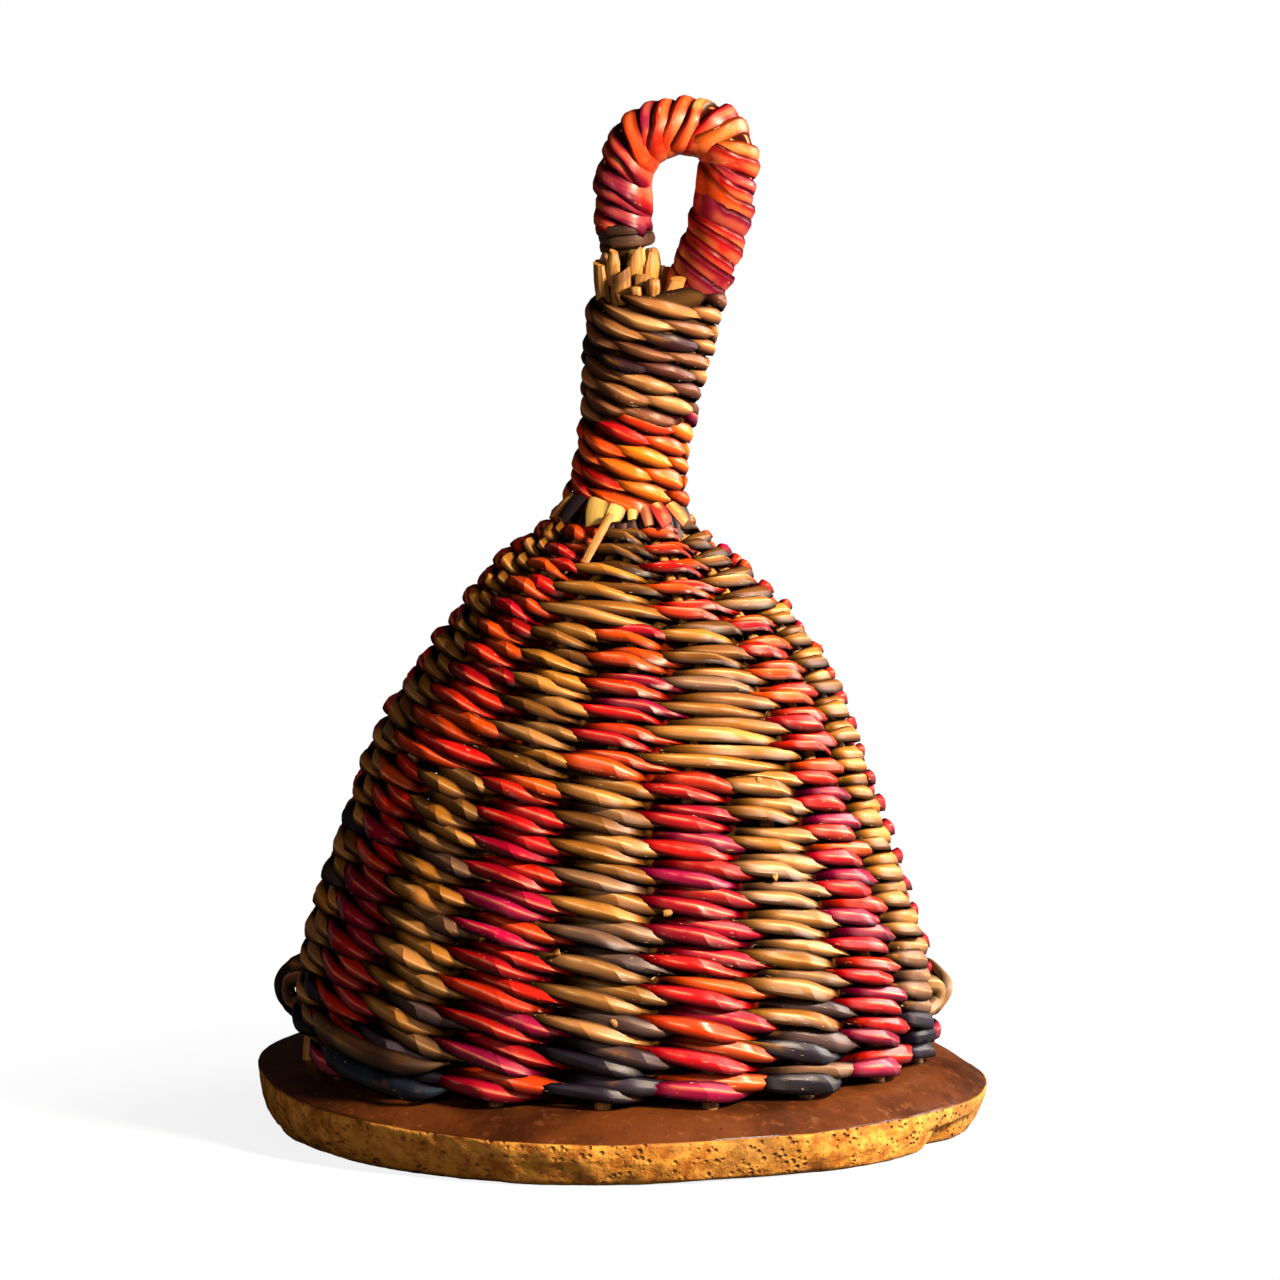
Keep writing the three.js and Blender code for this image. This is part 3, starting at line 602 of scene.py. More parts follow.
def reed_finish(name, warm_code, highlight_code, gloss, sheen=RED_SHEEN, highlight_strength=0.62, shine=0.4, painted_shade_rim=0.1):
    """Dyed reed: the strand's own dye, with warmer clouds where it has faded, painted shade that darkens its
    edges and its lower face, fine darker lines along its fibres, a painted highlight of paler colour along
    the ridge of its fold, scraped scars, and a waxy gloss that is duller on the scars. Its rims and tucked
    ends are matt."""
    pen, lay_on = new_finish(name)
    lay = pen.node("ShaderNodeUVMap", {"uv_map": "lay"})
    dye_and_painted_shade = pen.node("ShaderNodeAttribute", {"attribute_name": "dye_and_painted_shade"})
    place = pen.node("ShaderNodeTexCoord", output=3)
    tucked = pen.node("ShaderNodeAttribute", {"attribute_name": "tucked"}, output=2)
    around = pen.node("ShaderNodeSeparateXYZ", None, {"Vector": lay}, 1)
    to_edge = pen.node("ShaderNodeMath", {"operation": "ABSOLUTE"}, {0: around - 0.5})
    fibre = pen.noise(pen.stretch(lay, (90.0, 24.0, 1.0)), 1.0, 4.0, 0.6)
    line = pen.noise(pen.stretch(lay, (45.0, 60.0, 1.0)), 1.0, 2.0, 0.5).between(0.64, 0.71)
    cloud = pen.noise(place, 120.0, 3.0, 0.55)
    scar = pen.noise(pen.stretch(lay, (430.0, 18.0, 1.0)), 1.0, 3.0, 0.6)
    scar = scar.between(0.64, 0.7) * pen.noise(place, 85.0, 2.0).between(0.52, 0.6)
    warm = cloud.between(0.54, 0.76) * (1 - to_edge.between(0.02, 0.18)) * 0.6
    colour = warm.mix(dye_and_painted_shade, paint(warm_code))
    # Painted shade: the colour darkens towards black at the reed's edges and on its lower face. The fibre
    # texture and fine lines mixed in here are real.
    shade = (1 - to_edge.between(painted_shade_rim, painted_shade_rim + 0.17) * 0.85) * (fibre.between(0.2, 0.62) * 0.35 + 0.65)
    shade = shade * (1 - line * 0.45) * (1 - around.between(0.52, 0.7) * 0.6)
    colour = shade.mix((0.002, 0.0005, 0.001, 1.0), colour)
    bright = pen.node("ShaderNodeSeparateColor", None, {"Color": dye_and_painted_shade}).between(0.04, 0.34)
    # Painted highlight: paler colour along the ridge of the fold, on bright dyes and where the reed is not
    # tucked.
    wear_and_painted_highlight = (1 - to_edge.between(0.02, 0.1)) * (1 - tucked.between(0.0, 0.4)) * cloud.between(0.36, 0.58)
    colour = (wear_and_painted_highlight * bright * highlight_strength).mix(colour, paint(highlight_code))
    colour = (scar * 0.75).mix(colour, paint("c49b68"))
    matt = 1 - (1 - tucked.between(0.1, 0.7)) * (1 - to_edge.between(painted_shade_rim + 0.05, painted_shade_rim + 0.2))
    return lay_on({
        "Base Color": colour,
        "Roughness": fibre * 0.16 + cloud * 0.12 + scar * 0.25 + tucked * 0.4 + gloss,
        "Normal": pen.bump(fibre * 0.7 - scar * 0.6 - line * 0.5, 0.0003, 0.22),
        "Specular IOR Level": shine,
        "Specular Tint": sheen,
    }, matt)


red_reed = reed_finish("red dyed reed", "cc4406", "f08a62", 0.19, highlight_strength=0.7)
brown_reed = reed_finish("brown dyed reed", "b07020", "e2b074", 0.27, TAN_SHEEN, shine=0.24)


def weft(zone, ply):
    """One ply of a zone: pass centres stand before the groups of stakes, crossings midway between groups, and
    the strand runs through them course by course, stepping up to the next course over the last stakes."""
    _, courses, groups, _ = ZONES[zone]
    below = sum(row[1] for row in ZONES[:zone])
    passes = courses * groups
    rng = np.random.default_rng(40 + 2 * zone + ply)
    count = np.arange(passes)
    first, last = group_ends(groups, count % groups)
    course = below + count // groups + 0.5

    def climb(stake):
        return course + ease(stake, STAKE_COUNT - STEP_UP_STAKES, STAKE_COUNT)

    def turned(stake, share):
        return stake_azimuth(stake % STAKE_COUNT, share) + 2 * np.pi * (stake // STAKE_COUNT)

    level = course_share(climb((first + last) / 2))
    middle = (turned(first, level) + turned(last, level)) / 2
    between = course_share(climb(last + 0.5))
    crossing = (turned(last, between) + turned(last + 1, between)) / 2
    lap = 2 * np.pi * (count // groups)
    knots = np.concatenate([[0], np.stack([count + 0.5, count + 1], axis=1).ravel()])
    azimuth = np.stack([middle + lap, crossing + lap], axis=1).ravel()
    azimuth = np.concatenate([[2 * azimuth[0] - azimuth[1]], azimuth])
    share = np.stack([level, between], axis=1).ravel()
    share = np.concatenate([share[:1], share])
    steps = np.where((count + ply) % 2 == 0, FRONT_STEPS, BACK_STEPS)
    step = np.concatenate([[0], np.cumsum(np.repeat(1 / steps, steps))])
    step[-1] = passes
    share = np.interp(step, knots, share)
    base, out, up = wall_at(share, np.interp(step, knots, azimuth))
    height = base[:, 2]
    row = np.interp(share, [course_share(i) for i in range(COURSES + 1)], np.arange(COURSES + 1))
    pitch = base_pitch * bell_length * (1 - FINER * row)
    swing_out = stake_radius(share) + REED_GAP + REED_THICKNESS / 2
    pass_angle = np.abs(np.diff(azimuth)[1::2] + np.diff(azimuth)[::2])
    pass_length = np.interp(step, knots[1::2], pass_angle) * np.hypot(base[:, 0], base[:, 1])
    steeper = np.clip(pass_length / PASS_LENGTH, 0.85, 1.22)
    swing_up = pitch * REED_FALL * steeper * (0.3 + 0.7 * ease(row, 0.3, 1.4))
    centre, skin, number, bared = twine(step, ply, base, out, up, swing_out, swing_up,
                                        pitch * REED_HALF_WIDTH, REED_THICKNESS / 2, rng)
    lane = np.array([[0], [1]])
    drift = rng.normal(0, 0.5, (2, passes + 40))
    drift = np.stack([np.convolve(line, np.ones(9) / 9, "same") for line in drift])[:, :passes]
    spot = (rng.normal(0, 0.25, (2, passes)) + drift)[lane, number]
    shade = np.clip(rng.normal(0.97, 0.2, (2, passes)), 0.55, 1.25)[lane, number]
    if ply == 0:
        tone = 0.22 + 0.6 * ease(height, 0.012, 0.115) + spot
        dye_and_painted_shade = blend_dyes(RED_DYES, tone)
    else:
        tone = 0.06 + 0.5 * ease(height, 0.010, 0.048) + 0.34 * ease(height, 0.066, 0.118) + 0.6 * spot
        dye_and_painted_shade = blend_dyes(BROWN_DYES, tone)
    # Painted shade: the dye is darkened nearly to black where the reed is tucked under the others at the
    # crossings, on top of a random tone for each pass and small lumps.
    dye_and_painted_shade = dye_and_painted_shade * (shade * (0.06 + 0.94 * bared) * (1 + 0.2 * lumps(centre, 0.004, 70 + zone)))[..., None]
    return centre, skin, reed_marks(dye_and_painted_shade, bared)


for zone, (name, *_) in enumerate(ZONES):
    for ply, (colour, finish) in enumerate((("red", red_reed), ("brown", brown_reed))):
        path, skin, marks = weft(zone, ply)
        piece = new_strand(f"{colour}_reed_{name}", path, skin, finish, marks, 17)
        if name != "collar":
            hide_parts(f"{colour}_weft_{name}")

# Neck bindings: two flat reeds twisted round the gathered stakes, orange below and brown above. The turns lie
# close, and the strands cross over each other about every quarter of a turn, so each shows as a long leaf
# that slants down.

NECK_COLUMNS = 4.3
BINDING_STEPS = 16
BINDING_START = -2.2
BINDING_GAP = 0.0014
BINDING_SWING = 0.0012
BINDING_FALL = 0.85
BINDING_HALF_WIDTH = 0.72
BINDING_HALF_THICK = 0.0008
BINDING_TWIST = math.radians(16)
ONE_LANE = np.zeros((1, 1))
ORANGE_DYES = ("8c0430", "b80e08", "d02c04", "dc4c08", "e46c10")
NECK_DYES = ("2a1216", "54281e", "7c4424", "a4622e", "b47640", "4a2a30")


def bundle_radius(height):
    """The radius round the gathered stakes at a height."""
    share = share_at(np.minimum(height, NECK_TOP))
    return wall_radius(share) + stake_radius(share)


def neck_binding(name, node, finish, dyes, low, high, rows, seed, tone_of):
    """Two twisted strands that wind round the neck between two heights, at a radius from the stakes."""
    passes = int(rows * NECK_COLUMNS)
    step = np.linspace(0, passes, passes * BINDING_STEPS + 1)
    pitch = (high - low) / rows
    turn_round = 2 * np.pi * step / NECK_COLUMNS + BINDING_START
    height = high - (high - low) * step / passes
    radius = np.maximum(bundle_radius(height - pitch / 2), bundle_radius(height + pitch / 2)) + BINDING_GAP
    cos, sin = np.cos(turn_round), np.sin(turn_round)
    base = np.stack([axis_at(height) + radius * cos, radius * sin, height], axis=-1)
    out = np.stack([cos, sin, np.zeros_like(cos)], axis=-1)
    up = np.broadcast_to([math.sin(LEAN), 0.0, math.cos(LEAN)], out.shape)
    base, out, up = (part[None] for part in (base, out, up))
    rng = np.random.default_rng(seed)
    strands = [twine(step, ply, base, out, up, BINDING_SWING, pitch * BINDING_FALL,
                     pitch * BINDING_HALF_WIDTH, BINDING_HALF_THICK, rng, ONE_LANE, BINDING_TWIST, 0.0)
               for ply in (0, 1)]
    centre, skin, bared = (np.concatenate([strand[i] for strand in strands]) for i in (0, 1, 3))
    spot = np.repeat(rng.normal(0, 0.22, (2, passes)), BINDING_STEPS, axis=1)
    spot = np.concatenate([spot, spot[:, -1:]], axis=1)
    dye_and_painted_shade = blend_dyes(dyes, tone_of((height - low) / (high - low)) + spot)
    # Painted shade: the dye is darkened nearly to black where the strand is tucked under the other one.
    dye_and_painted_shade = dye_and_painted_shade * ((0.08 + 0.92 * bared) * (1 + 0.2 * lumps(centre, 0.004, seed)))[..., None]
    piece = new_strand(name, centre, skin, finish, reed_marks(dye_and_painted_shade, bared), 24)
    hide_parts(node)


orange_reed = reed_finish("orange dyed reed", "d8590c", "f08c44", 0.2)
neck_binding("orange_neck_binding", "neck_binding_lower", orange_reed, ORANGE_DYES, low=0.1244,
             high=0.1418, rows=7.7, seed=61, tone_of=lambda part: 0.78 - 0.62 * ease(part, 0.72, 1.0))
neck_binding("brown_neck_binding", "neck_binding_upper", brown_reed, NECK_DYES, low=0.1424,
             high=0.1648, rows=10.6, seed=62, tone_of=lambda part: 0.42 + 0.2 * np.sin(9 * part))

# Finger loop: a bundle of straw reeds bent into a loop, its foot in the right of the neck and its tail at the
# left. Flat red reeds are wound over it from the neck up, round and down again, over a first layer that is
# stained like them, and two dark turns end the winding.

LOOP_LENGTH = 0.035
LOOP_TOP = NECK_TOP + LOOP_LENGTH
LOOP_HALF_WIDTH = 0.0102
LOOP_CORE_RADIUS = 0.0041
LOOP_LEG_HEIGHT = NECK_TOP + 0.343 * LOOP_LENGTH
LOOP_FOOT_X = 0.0062
LOOP_TAIL_X = -0.00425
LEG_X = LOOP_HALF_WIDTH - 0.0007
LOOP_SQUARENESS = 0.82
LOOP_SHOULDER = 0.181
TAIL_RADIUS = 0.0026
CORE_STATIONS = 90
FIRST_LAYER = 0.0009
WRAP_END = NECK_TOP + 0.0152
WRAP_STRANDS = 3
WRAP_TURNS = 8.2
WRAP_TURN_STEPS = 40
WRAP_HALF_WIDTH = 0.0026
WRAP_HALF_THICK = 0.0009
WRAP_LAP = 0.3
WRAP_WANDER = 0.0028
WRAP_DYES = ("7c0428", "980612", "b40e06", "c43806", "d05e10", "b07c3c")
TAPE_SECTION = np.array([
    (0.0, -0.6), (0.9, -0.5), (1.0, 0.1), (0.72, 0.72), (0.12, 1.0), (-0.55, 0.86), (-1.0, 0.1), (-0.9, -0.5),
])


def in_loop(x, height):
    return (float(axis_at(height)) + x, 0.0, height)


arch = [in_loop(LOOP_HALF_WIDTH * np.sign(math.cos(a)) * abs(math.cos(a)) ** LOOP_SQUARENESS,
                LOOP_TOP - LOOP_HALF_WIDTH * (1 - math.sin(a) ** LOOP_SQUARENESS))
        for a in np.radians([0, 30, 60, 90, 120, 150, 180])]
loop_line, _ = smooth_line([
    in_loop(LOOP_FOOT_X, 0.150),
    in_loop(LOOP_FOOT_X, NECK_TOP),
    in_loop(LEG_X, LOOP_LEG_HEIGHT),
    *arch,
    in_loop(0.0016 - LEG_X, LOOP_LEG_HEIGHT),
    in_loop(LOOP_TAIL_X, NECK_TOP),
    in_loop(LOOP_TAIL_X, NECK_TOP - 0.0075),
], 0.5)
loop_ahead = unit(np.gradient(loop_line, axis=0))
loop_share = np.linspace(0, 1, len(loop_line))


def loop_at(share):
    """A point of the loop's middle line, the way ahead along it and the way out from the loop's inside."""
    point, ahead = (read_off(share, loop_share, rows) for rows in (loop_line, loop_ahead))
    across = np.broadcast_to([0.0, 1.0, 0.0], point.shape)
    return point, ahead, across, np.cross(ahead, across)


wrap_first = loop_share[loop_line[:, 2] > NECK_TOP + 0.0003][0]
wrap_last = loop_share[(loop_share > 0.5) & (loop_line[:, 2] > WRAP_END)][-1]
core_share = np.linspace(0, 1, CORE_STATIONS)
point, _, across, outward = loop_at(core_share)
thinned = np.where(core_share < 0.5, 0, np.clip((WRAP_END - point[:, 2]) / (WRAP_END - NECK_TOP), 0, 1))
girth = LOOP_CORE_RADIUS + (TAIL_RADIUS - LOOP_CORE_RADIUS) * thinned
covered = (core_share > wrap_first + 0.02) & (core_share < wrap_last - 0.02)
girth = girth + FIRST_LAYER * covered
core = sweep(point, across, outward, girth, girth, round_stem)
straw_dyed = reed_finish("cut straw", "c89a50", "d8aa5c", 0.4)
stain = np.where(covered[:, None], paint("b03408")[:3], paint("b88438")[:3])
piece = new_strand("straw_loop_core", point, core, straw_dyed, {"dye_and_painted_shade": all_round(stain, STEM_SIDES)})
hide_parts("finger_loop_core")


def wound(first, last, turns, radius, half_width, half_thick, seed, tilt, start=0.0):
    """A flat strand wound left-handed round the loop's bundle, each turn tilted over the one before. It lies
    flatter and spreads wider on the outside of the bend, and wanders a little."""
    rng = np.random.default_rng(seed)
    steps = int(turns * WRAP_TURN_STEPS)
    part = np.linspace(0, 1, steps + 1)
    turn = start - 2 * np.pi * turns * part
    share = first + (last - first) * part
    knots = int(turns * 3) + 2
    jitter = np.interp(np.linspace(0, turns * 3, steps + 1), np.arange(knots), rng.normal(0, 1, knots))
    share = share + jitter * WRAP_WANDER
    point, ahead, across, outward = loop_at(share)
    out = np.cos(turn)[:, None] * across + np.sin(turn)[:, None] * outward
    bent = np.sum(out * outward, axis=-1) * (point[:, 2] > LOOP_SHOULDER)
    lap = tilt * np.clip(1 + 0.5 * np.roll(jitter, 11), 0.5, 1.4) * (1 - 0.7 * np.maximum(bent, 0))
    lap = lap[:, None]
    along = ahead * np.cos(lap) + out * np.sin(lap)
    face = out * np.cos(lap) - ahead * np.sin(lap)
    width = half_width * (1 + 0.85 * np.maximum(bent, -0.3))
    width = width * np.clip(1 + 0.2 * np.roll(jitter, 17), 0.75, 1.4)
    centre = point + out * (radius + 0.0003 * np.roll(jitter, 31))[:, None]
    taper = np.clip(np.minimum(part, 1 - part) * turns * 5, 0.2, 1)
    return centre, sweep(centre, along, face, width * taper, half_thick * taper, TAPE_SECTION)


loop_reed = reed_finish("orange-red loop reed", "b83c0a", "e2743c", 0.22, highlight_strength=0.4, painted_shade_rim=0.04)
coils = [wound(wrap_first, wrap_last, WRAP_TURNS, LOOP_CORE_RADIUS + 0.0008, WRAP_HALF_WIDTH, WRAP_HALF_THICK,
               81 + i, WRAP_LAP, 2 * np.pi * i / WRAP_STRANDS) for i in range(WRAP_STRANDS)]
centre, skin = (np.stack(parts) for parts in zip(*coils))
part = np.linspace(0, 1, centre.shape[1])
spot = np.random.default_rng(83).normal(0, 0.19, (WRAP_STRANDS, 18))[:, (part * 17).astype(int)]
tone = np.interp(part, [0, 0.2, 0.36, 0.5, 0.62, 0.85, 1], [0.1, 0.24, 0.44, 0.52, 0.4, 0.16, 0.04]) + spot
tone = np.minimum(tone, 0.8)
tone[1] = np.where(np.abs(part - 0.545) < 0.03, 0.98, tone[1])
dye_and_painted_shade = blend_dyes(WRAP_DYES, tone) * (1 + 0.25 * lumps(centre, 0.004, 84))[..., None]
sides = len(TAPE_SECTION)
piece = new_strand("red_loop_wrap", centre, skin, loop_reed, {"dye_and_painted_shade": all_round(dye_and_painted_shade, sides)}, 24)
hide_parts("finger_loop_wrap")

band_first = wrap_last - 0.004
band_last = loop_share[(loop_share > 0.5) & (loop_line[:, 2] > WRAP_END - 0.0038)][-1]
centre, skin = wound(band_first, band_last, turns=2.4, radius=LOOP_CORE_RADIUS + 0.00075, half_width=0.0017,
                     half_thick=0.0008, seed=84, tilt=0.1)
dye_and_painted_shade = blend_dyes(("1c0e0a", "4a2c1c", "20120e"), 0.5 + 0.4 * lumps(centre, 0.005, 85))
piece = new_strand("dark_loop_band", centre, skin, brown_reed, {"dye_and_painted_shade": all_round(dye_and_painted_shade, sides)}, 24)

# Cut ends: where the loop's tail is bound in, the straw reeds of the bundle and the stakes round it stand out
# of the neck in two tiers, cut off by hand, and lower down more cut ends show under the orange binding.


def cut_ends(name, foot, lean, length, half_width, half_thick, spin, material, colours=None, tip=0.86):
    """Short flat reeds, each from a foot along its own lean, a little bowed, with a slanting cut end."""
    length, half_width, half_thick = (
        np.broadcast_to(part, len(foot)) for part in (length, half_width, half_thick)
    )
    lean = unit(lean)
    rise = np.linspace(0, 1, 7)[None, :, None]
    across = unit(np.cross(lean, spin))
    away = np.cross(across, lean)
    path = foot[:, None] + rise * length[:, None, None] * lean[:, None]
    path = path + away[:, None] * (rise * (1 - rise)) * 0.0008
    spread = np.array([0.85, 0.95, 1.0, 1.02, 1.0, (1 + tip) / 2, tip])
    wide = np.broadcast_to(across[:, None], path.shape)
    face = np.broadcast_to(away[:, None], path.shape)
    skin = sweep(path, wide, face, half_width[:, None] * spread, half_thick[:, None] * spread, round_stem)
    slant = np.random.default_rng(len(foot)).uniform(-0.9, 0.9, len(foot))
    shift = (round_stem[:, 0] * slant[:, None] * half_width[:, None])[..., None] * lean[:, None]
    skin[:, -1] += shift * 0.7
    skin[:, -2] += shift * 0.45
    marks = None
    if colours is not None:
        marks = {"dye_and_painted_shade": np.broadcast_to(np.asarray(colours)[:, None, None, :], skin.shape)}
    piece = new_strand(name, path, skin, material, marks, 40)


def standing(place, low, lean_x):
    """Feet at sideways and forward places on one level, and leans that spread a little outward."""
    place = np.asarray(place)
    foot = np.concatenate([place, np.full((len(place), 1), low)], axis=1)
    away = place - np.array([0.003, 0.0])
    away = unit(np.concatenate([away, np.zeros((len(place), 1))], axis=1))
    lean = away * 0.08 + np.array([0.0, 0.0, 1.0])
    lean[:, 0] += lean_x
    return foot, lean, away


def on_front(x, height, away):
    """A point on the front of the basket at a sideways place and a height, this far out from the stakes."""
    share = share_at(height)
    sideways = (x - axis_at(height)) / (wall_radius(share) + away)
    azimuth = -np.pi / 2 + np.arcsin(np.clip(sideways, -1, 1))
    point, out, up = wall_at(share, azimuth)
    return point + away * out, out, up


TAIL_STUBS = [(-0.0016, -0.0042), (0.0024, -0.0050), (0.0054, -0.0040), (-0.0032, -0.0010), (0.0058, 0.0006),
              (-0.0020, 0.0034), (0.0018, 0.0046), (0.0050, 0.0036)]
foot, lean, away = standing(TAIL_STUBS, 0.1680, 0.06)
length = [0.0068, 0.0072, 0.0066, 0.0058, 0.0060, 0.0070, 0.0072, 0.0064]
cut_ends("straw_tail_tips", foot, lean, length, 0.0016, 0.0012, away, straw, tip=0.62)
NECK_STUBS = [(-0.0030, -0.0030), (0.0003, -0.0060), (0.0044, -0.0068), (0.0076, -0.0060), (-0.0028, 0.0016),
              (-0.0006, 0.0056), (0.0034, 0.0074), (0.0078, 0.0066)]
foot, lean, away = standing(NECK_STUBS, 0.1622, np.array([-0.06, -0.02, 0.02, 0.42, -0.06, -0.04, 0.02, 0.2]))
length = [0.0102, 0.0086, 0.0082, 0.0082, 0.0096, 0.0088, 0.0086, 0.0082]
width = [0.0019, 0.0022, 0.0023, 0.0018, 0.0021, 0.0021, 0.0022, 0.0019]
cut_ends("straw_neck_tips", foot, lean, length, width, 0.0014, away, straw)

throat_x = np.array([-0.0096, -0.0076, -0.0044, -0.0004, 0.0022, 0.0042, 0.0066, 0.0096])
throat_top = np.array([0.1256, 0.1262, 0.1258, 0.1248, 0.1246, 0.1240, 0.1240, 0.1236])
front = on_front(throat_x, throat_top, 0.0036)
back = wall_at(share_at(np.full(6, 0.1255)), np.radians([5, 40, 80, 120, 150, 180]))
foot, out, up = (np.concatenate(ends) for ends in zip(front, back))
foot[8:] += out[8:] * 0.0024
rng = np.random.default_rng(95)
lean = out * 0.16 - up + rng.normal(0, 0.06, (14, 3))
lean[:, 0] += np.array([-0.3, -0.45, 0.0, -0.25, 0.05, 0.1, 0.2, 0.3, 0, 0, 0, 0, 0, 0])
length = np.array([6.0, 6.6, 5.6, 4.6, 3.6, 4.6, 5.2, 5.0, 6.0, 6.5, 6.0, 6.5, 6.0, 6.5]) * 0.001
width = np.array([1.6, 1.7, 2.5, 1.8, 1.1, 1.2, 1.8, 1.9, 1.5, 1.8, 1.4, 1.6, 1.8, 1.5]) * 0.001
tones = np.array([paint(code)[:3] for code in (
    "a85a1c", "140c12", "d2a24a", "caa050", "b48a3c", "7a3414", "a01206", "b4541c", "c0480c", "7a4c26",
    "c08a3c", "8a5a24", "a01a14", "7a4c26")])
cut_ends("throat_tips", foot, lean, length, width, 0.0005, out, straw_dyed, tones)
packing = np.linspace(0, 2 * np.pi, 30, endpoint=False)
foot, out, up = wall_at(share_at(np.full(30, 0.1275)), packing)
# Packed reed ends round the throat, coloured near-black: painted shade for the gaps between the stakes under
# the binding.
dark = blend_dyes(("0c0605", "1e0e07", "300a06", "140a07"), rng.uniform(0, 1, 30))
length = rng.uniform(0.0088, 0.0104, 30)
cut_ends("throat_packing", foot + out * 0.0012, out * 0.3 - up, length, 0.0017, 0.0008, out, straw_dyed,
         dark)
foot, out, up = on_front(np.array([-0.0022]), np.array([0.1212]), 0.0052)
lean = -up + np.array([[-0.42, 0, 0]])
cut_ends("throat_splinter", foot, lean, 0.0118, 0.0009, 0.0004, out, straw)

# Loose ends: chips of straw stick out between the reeds, a worn reed bulges out of each side of the basket,
# and two broad strips lie over the first courses at the left.

chip_x = np.array([0.0174, 0.0302, 0.009, -0.0008, -0.0125, 0.0265])
chip_z = np.array([0.0608, 0.0558, 0.0504, 0.0302, 0.0432, 0.0738])
foot, out, up = on_front(chip_x, chip_z, 0.0028)
rng = np.random.default_rng(97)
lean = out * 0.5 + up * 0.7 + rng.normal(0, 0.35, (6, 3))
length = rng.uniform(0.0012, 0.0022, 6)
width = rng.uniform(0.0005, 0.001, 6)
cut_ends("straw_chips", foot, lean, length, width, 0.0004, out, straw)

ROUND_BELL = 0.06
STRIP_STATIONS = 48
STRIPS = {
    "brown_strip": (0.0024, 0.0008, ("2a1a12", "6a4424", "2a1e1c"), [
        (-164, 0.0245, 0.002), (-152, 0.0240, 0.0048), (-138, 0.0215, 0.0052), (-126, 0.0205, 0.0046),
        (-121, 0.0215, 0.002)]),
    "indigo_strip": (0.0022, 0.0008, ("0c1018", "202a34", "100c14"), [
        (-158, 0.0196, 0.002), (-148, 0.0186, 0.0045), (-136, 0.0166, 0.005), (-125, 0.0156, 0.0046),
        (-120, 0.0166, 0.002)]),
    "left_bulge": (0.0026, 0.0019, ("140a06", "2c1a0e", "140a06"), [
        (-185, 0.0222, 0.001), (-181, 0.0236, 0.0046), (-180, 0.0272, 0.0062), (-179, 0.0306, 0.0046),
        (-175, 0.0322, 0.001)]),
    "left_fold": (0.0020, 0.0017, ("5a2a18", "8a4a2c", "4a2014"), [
        (-176, 0.0232, 0.001), (-178, 0.0250, 0.0042), (-178, 0.0280, 0.0048), (-176, 0.0305, 0.001)]),
    "right_bulge": (0.0024, 0.0018, ("3a2416", "8a5e34", "3a2416"), [
        (-6, 0.0226, 0.001), (-3, 0.0244, 0.0042), (-1, 0.0268, 0.0058), (2, 0.0292, 0.0042),
        (6, 0.0312, 0.001)]),
    "right_fold": (0.0020, 0.0017, ("5a3418", "8a6238", "3a1c10"), [
        (-9, 0.0228, 0.001), (-4, 0.0250, 0.004), (-4, 0.0276, 0.0044), (-8, 0.0298, 0.001)]),
}


def loose_strip(name, half_width, half_thick, dyes, places):
    """A flat reed over the weave, through places given as azimuth in degrees, height and distance from the
    stakes, tapered to both ends."""
    azimuth, height, away = np.array(places, dtype=float).T
    line = np.stack([np.radians(azimuth) * ROUND_BELL, height, away], axis=1)
    line, _ = smooth_line(line, 0.5, STRIP_STATIONS)
    point, out, _ = wall_at(share_at(line[:, 1]), line[:, 0] / ROUND_BELL)
    centre = point + line[:, 2:] * out
    ahead = unit(np.gradient(centre, axis=0))
    wide = unit(np.cross(out, ahead))
    face = np.cross(ahead, wide)
    station = np.arange(STRIP_STATIONS)
    taper = np.clip(np.minimum(station, station[::-1]) / 9, 0.15, 1)
    skin = sweep(centre, wide, face, half_width * taper, half_thick * taper, REED_SECTION)
    dye_and_painted_shade = blend_dyes(dyes, 0.5 + 0.5 * lumps(centre, 0.008, 7))
    piece = new_strand(name, centre, skin, brown_reed, {"dye_and_painted_shade": all_round(dye_and_painted_shade, len(REED_SECTION))}, 24)


for name, strip in STRIPS.items():
    loose_strip(name, *strip)

# Seeds: hard grey tear-shaped seeds that lie loose on the gourd inside the basket and rattle when it is
# shaken. They have the smooth shell of the real ones, with streaks from the tip.


def seed_finish():
    """Pale grey shell with darker streaks and a porcelain gloss."""
    pen, lay_on = new_finish("seed shell")
    place = pen.node("ShaderNodeTexCoord", output=3)
    streak = pen.noise(pen.stretch(place, (900.0, 900.0, 200.0)), 1.0, 3.0)
    colour = streak.between(0.4, 0.65).mix(paint("c9c2ae"), paint("8d8676"))
    return lay_on({
        "Base Color": colour,
        "Roughness": streak * 0.2 + 0.2,
        "Normal": pen.bump(streak, 0.0002, 0.3),
    })


shell = seed_finish()
for name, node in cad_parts.items():
    if name.startswith("seed_"):
        node.data.materials.clear()
        node.data.materials.append(shell)

# Table: a plain pale sheet of paper under the shaker. It runs on into a white surround, and keeps the
# shaker's shadow.


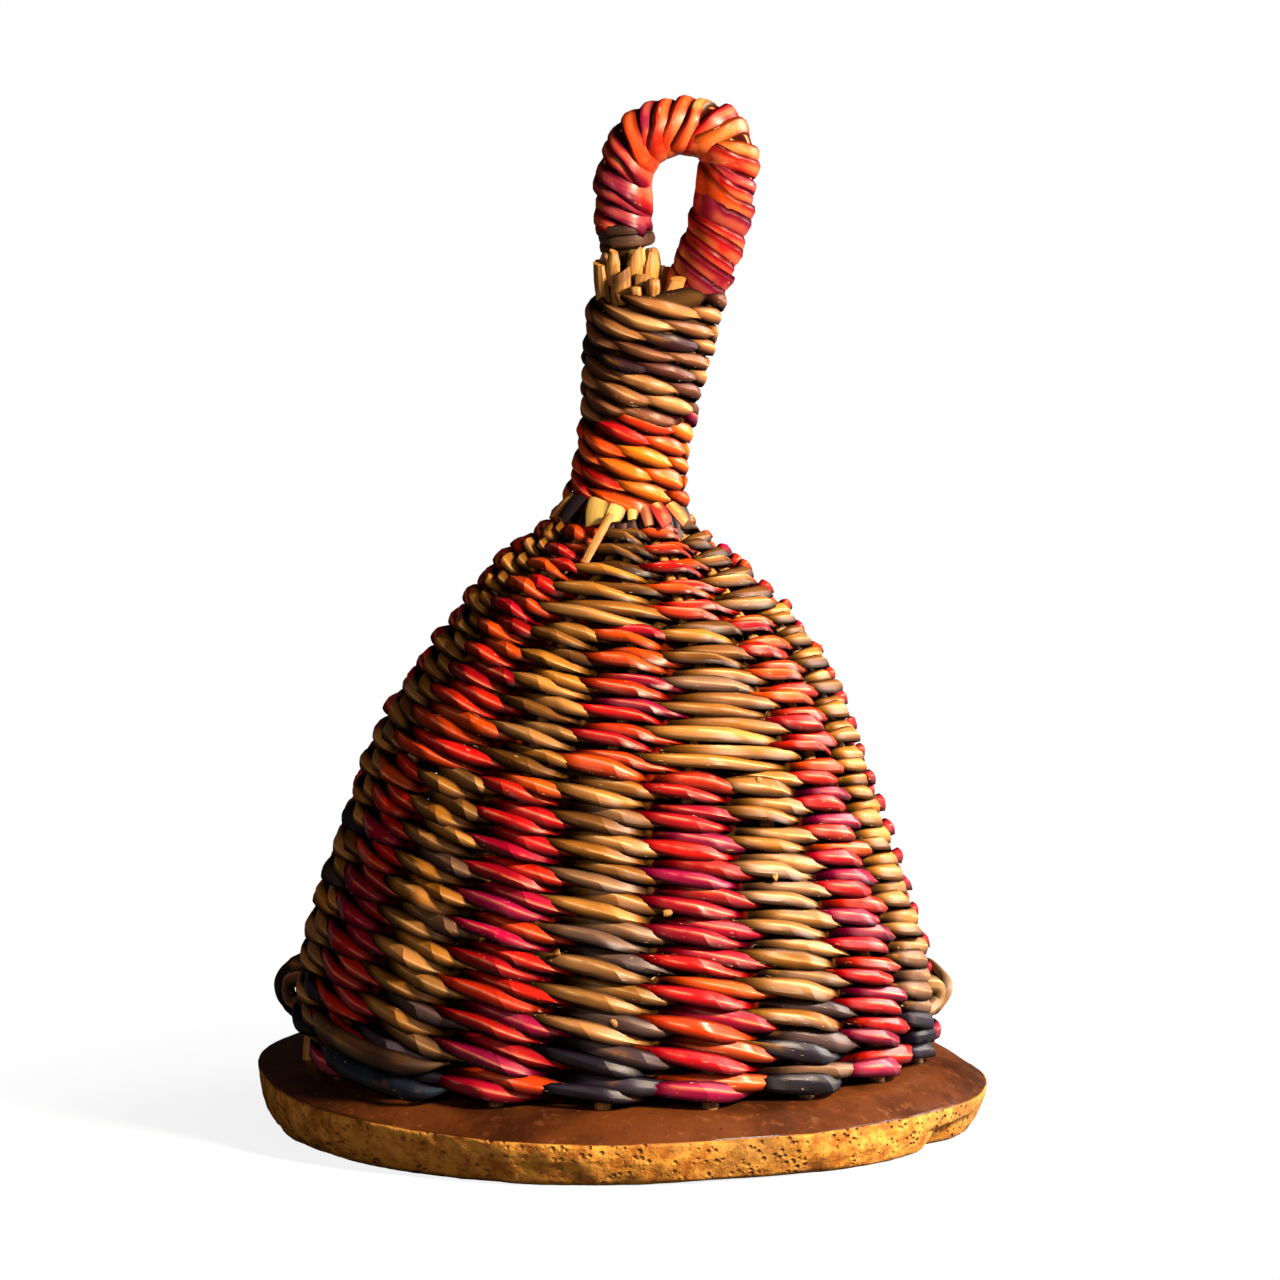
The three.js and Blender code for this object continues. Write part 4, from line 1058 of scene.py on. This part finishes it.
def table_finish():
    """Pale matt paper that the camera sees as white, with the shaker's shadow kept on it."""
    material, pen = bare_finish("pale table")
    matt = pen.node("ShaderNodeBsdfDiffuse", None, {"Color": (0.9, 0.9, 0.9, 1.0)})
    dark = pen.node("ShaderNodeBsdfDiffuse", None, {"Color": (0.08, 0.08, 0.08, 1.0)})
    white = pen.node("ShaderNodeEmission", None, {"Color": (1.0, 1.0, 1.0, 1.0), "Strength": 1.0})
    seen = pen.node("ShaderNodeLightPath")
    place = pen.node("ShaderNodeTexCoord", output=3)
    reach = pen.node("ShaderNodeVectorMath", {"operation": "LENGTH"}, {0: place}, 1)
    bare = reach.between(0.06, 0.16) * 0.14 + 0.86
    pale = pen.node("ShaderNodeMixShader", None, {0: bare, 1: matt, 2: white})
    surface = pen.node("ShaderNodeMixShader", None, {0: seen, 1: dark, 2: pale})
    pen.node("ShaderNodeOutputMaterial", None, {"Surface": surface})
    return material


span = np.linspace(-16.0, 16.0, 9)
sheet_x, sheet_y = np.meshgrid(span, span, indexing="ij")
sheet = np.stack([sheet_x, sheet_y, np.zeros_like(sheet_x)], axis=-1).reshape(-1, 3)
corner = np.arange(81).reshape(9, 9)
sheet_faces = np.stack([corner[:-1, :-1], corner[1:, :-1], corner[1:, 1:], corner[:-1, 1:]], axis=-1)
sheet_faces = sheet_faces.reshape(-1, 4)
table_mesh = bpy.data.meshes.new("table")
table_mesh.from_pydata(sheet.tolist(), [], sheet_faces.tolist())
table_mesh.materials.append(table_finish())
table = bpy.data.objects.new("table", table_mesh)
bpy.context.scene.collection.objects.link(table)

# Light and camera: a warm soft lamp from the right in front, a broad one from the right behind, a weak one
# from the left and a dim pale surround. The camera stands far off with a long lens and looks a little down.

world = bpy.data.worlds.new("surround")
bpy.context.scene.world = world
world.use_nodes = True
world.node_tree.nodes.clear()
pen = Shade(world.node_tree)
path = pen.node("ShaderNodeLightPath")
dim = pen.node("ShaderNodeBackground", None, {"Color": (0.92, 0.95, 1.0, 1.0), "Strength": 0.012})
bright = pen.node("ShaderNodeBackground", None, {"Color": (1.0, 1.0, 1.0, 1.0), "Strength": 1.0})
surround = pen.node("ShaderNodeMixShader", None, {0: path, 1: dim, 2: bright})
pen.node("ShaderNodeOutputWorld", None, {"Surface": surround})


def soft_lamp(name, place, size, power, colour):
    """A square lamp at a place, turned to face the middle of the shaker."""
    light = bpy.data.lights.new(name, "AREA")
    light.size = size
    light.energy = power
    light.color = colour
    lamp = bpy.data.objects.new(name, light)
    lamp.location = place
    ahead = np.subtract((0.0, 0.0, 0.09), place)
    flat = math.hypot(ahead[0], ahead[1])
    lamp.rotation_euler = (math.atan2(flat, -ahead[2]), 0, math.atan2(-ahead[0], ahead[1]))
    bpy.context.scene.collection.objects.link(lamp)


soft_lamp("key_lamp", (0.63, -0.52, 0.52), size=0.14, power=34.0, colour=(1.0, 0.95, 0.88))
soft_lamp("side_lamp", (0.8, 0.3, 0.3), size=0.5, power=15.0, colour=(1.0, 0.97, 0.94))
soft_lamp("fill_lamp", (-0.5, -0.8, 0.4), size=0.25, power=1.7, colour=(1.0, 0.93, 0.95))

DISTANCE = 3.0
ELEVATION = math.radians(8.9)
FRAME_WIDTH = 0.2528
SENSOR_WIDTH = 36
AIM = np.array([0.00355, 0.0, 0.0968])
camera_data = bpy.data.cameras.new("camera")
camera_data.sensor_width = SENSOR_WIDTH
camera_data.lens = SENSOR_WIDTH * DISTANCE / FRAME_WIDTH
camera = bpy.data.objects.new("camera", camera_data)
camera.location = AIM + DISTANCE * np.array([0, -math.cos(ELEVATION), math.sin(ELEVATION)])
camera.rotation_euler = (math.pi / 2 - ELEVATION, 0, 0)
bpy.context.scene.collection.objects.link(camera)
bpy.context.scene.camera = camera
bpy.context.scene.view_settings.view_transform = "Standard"
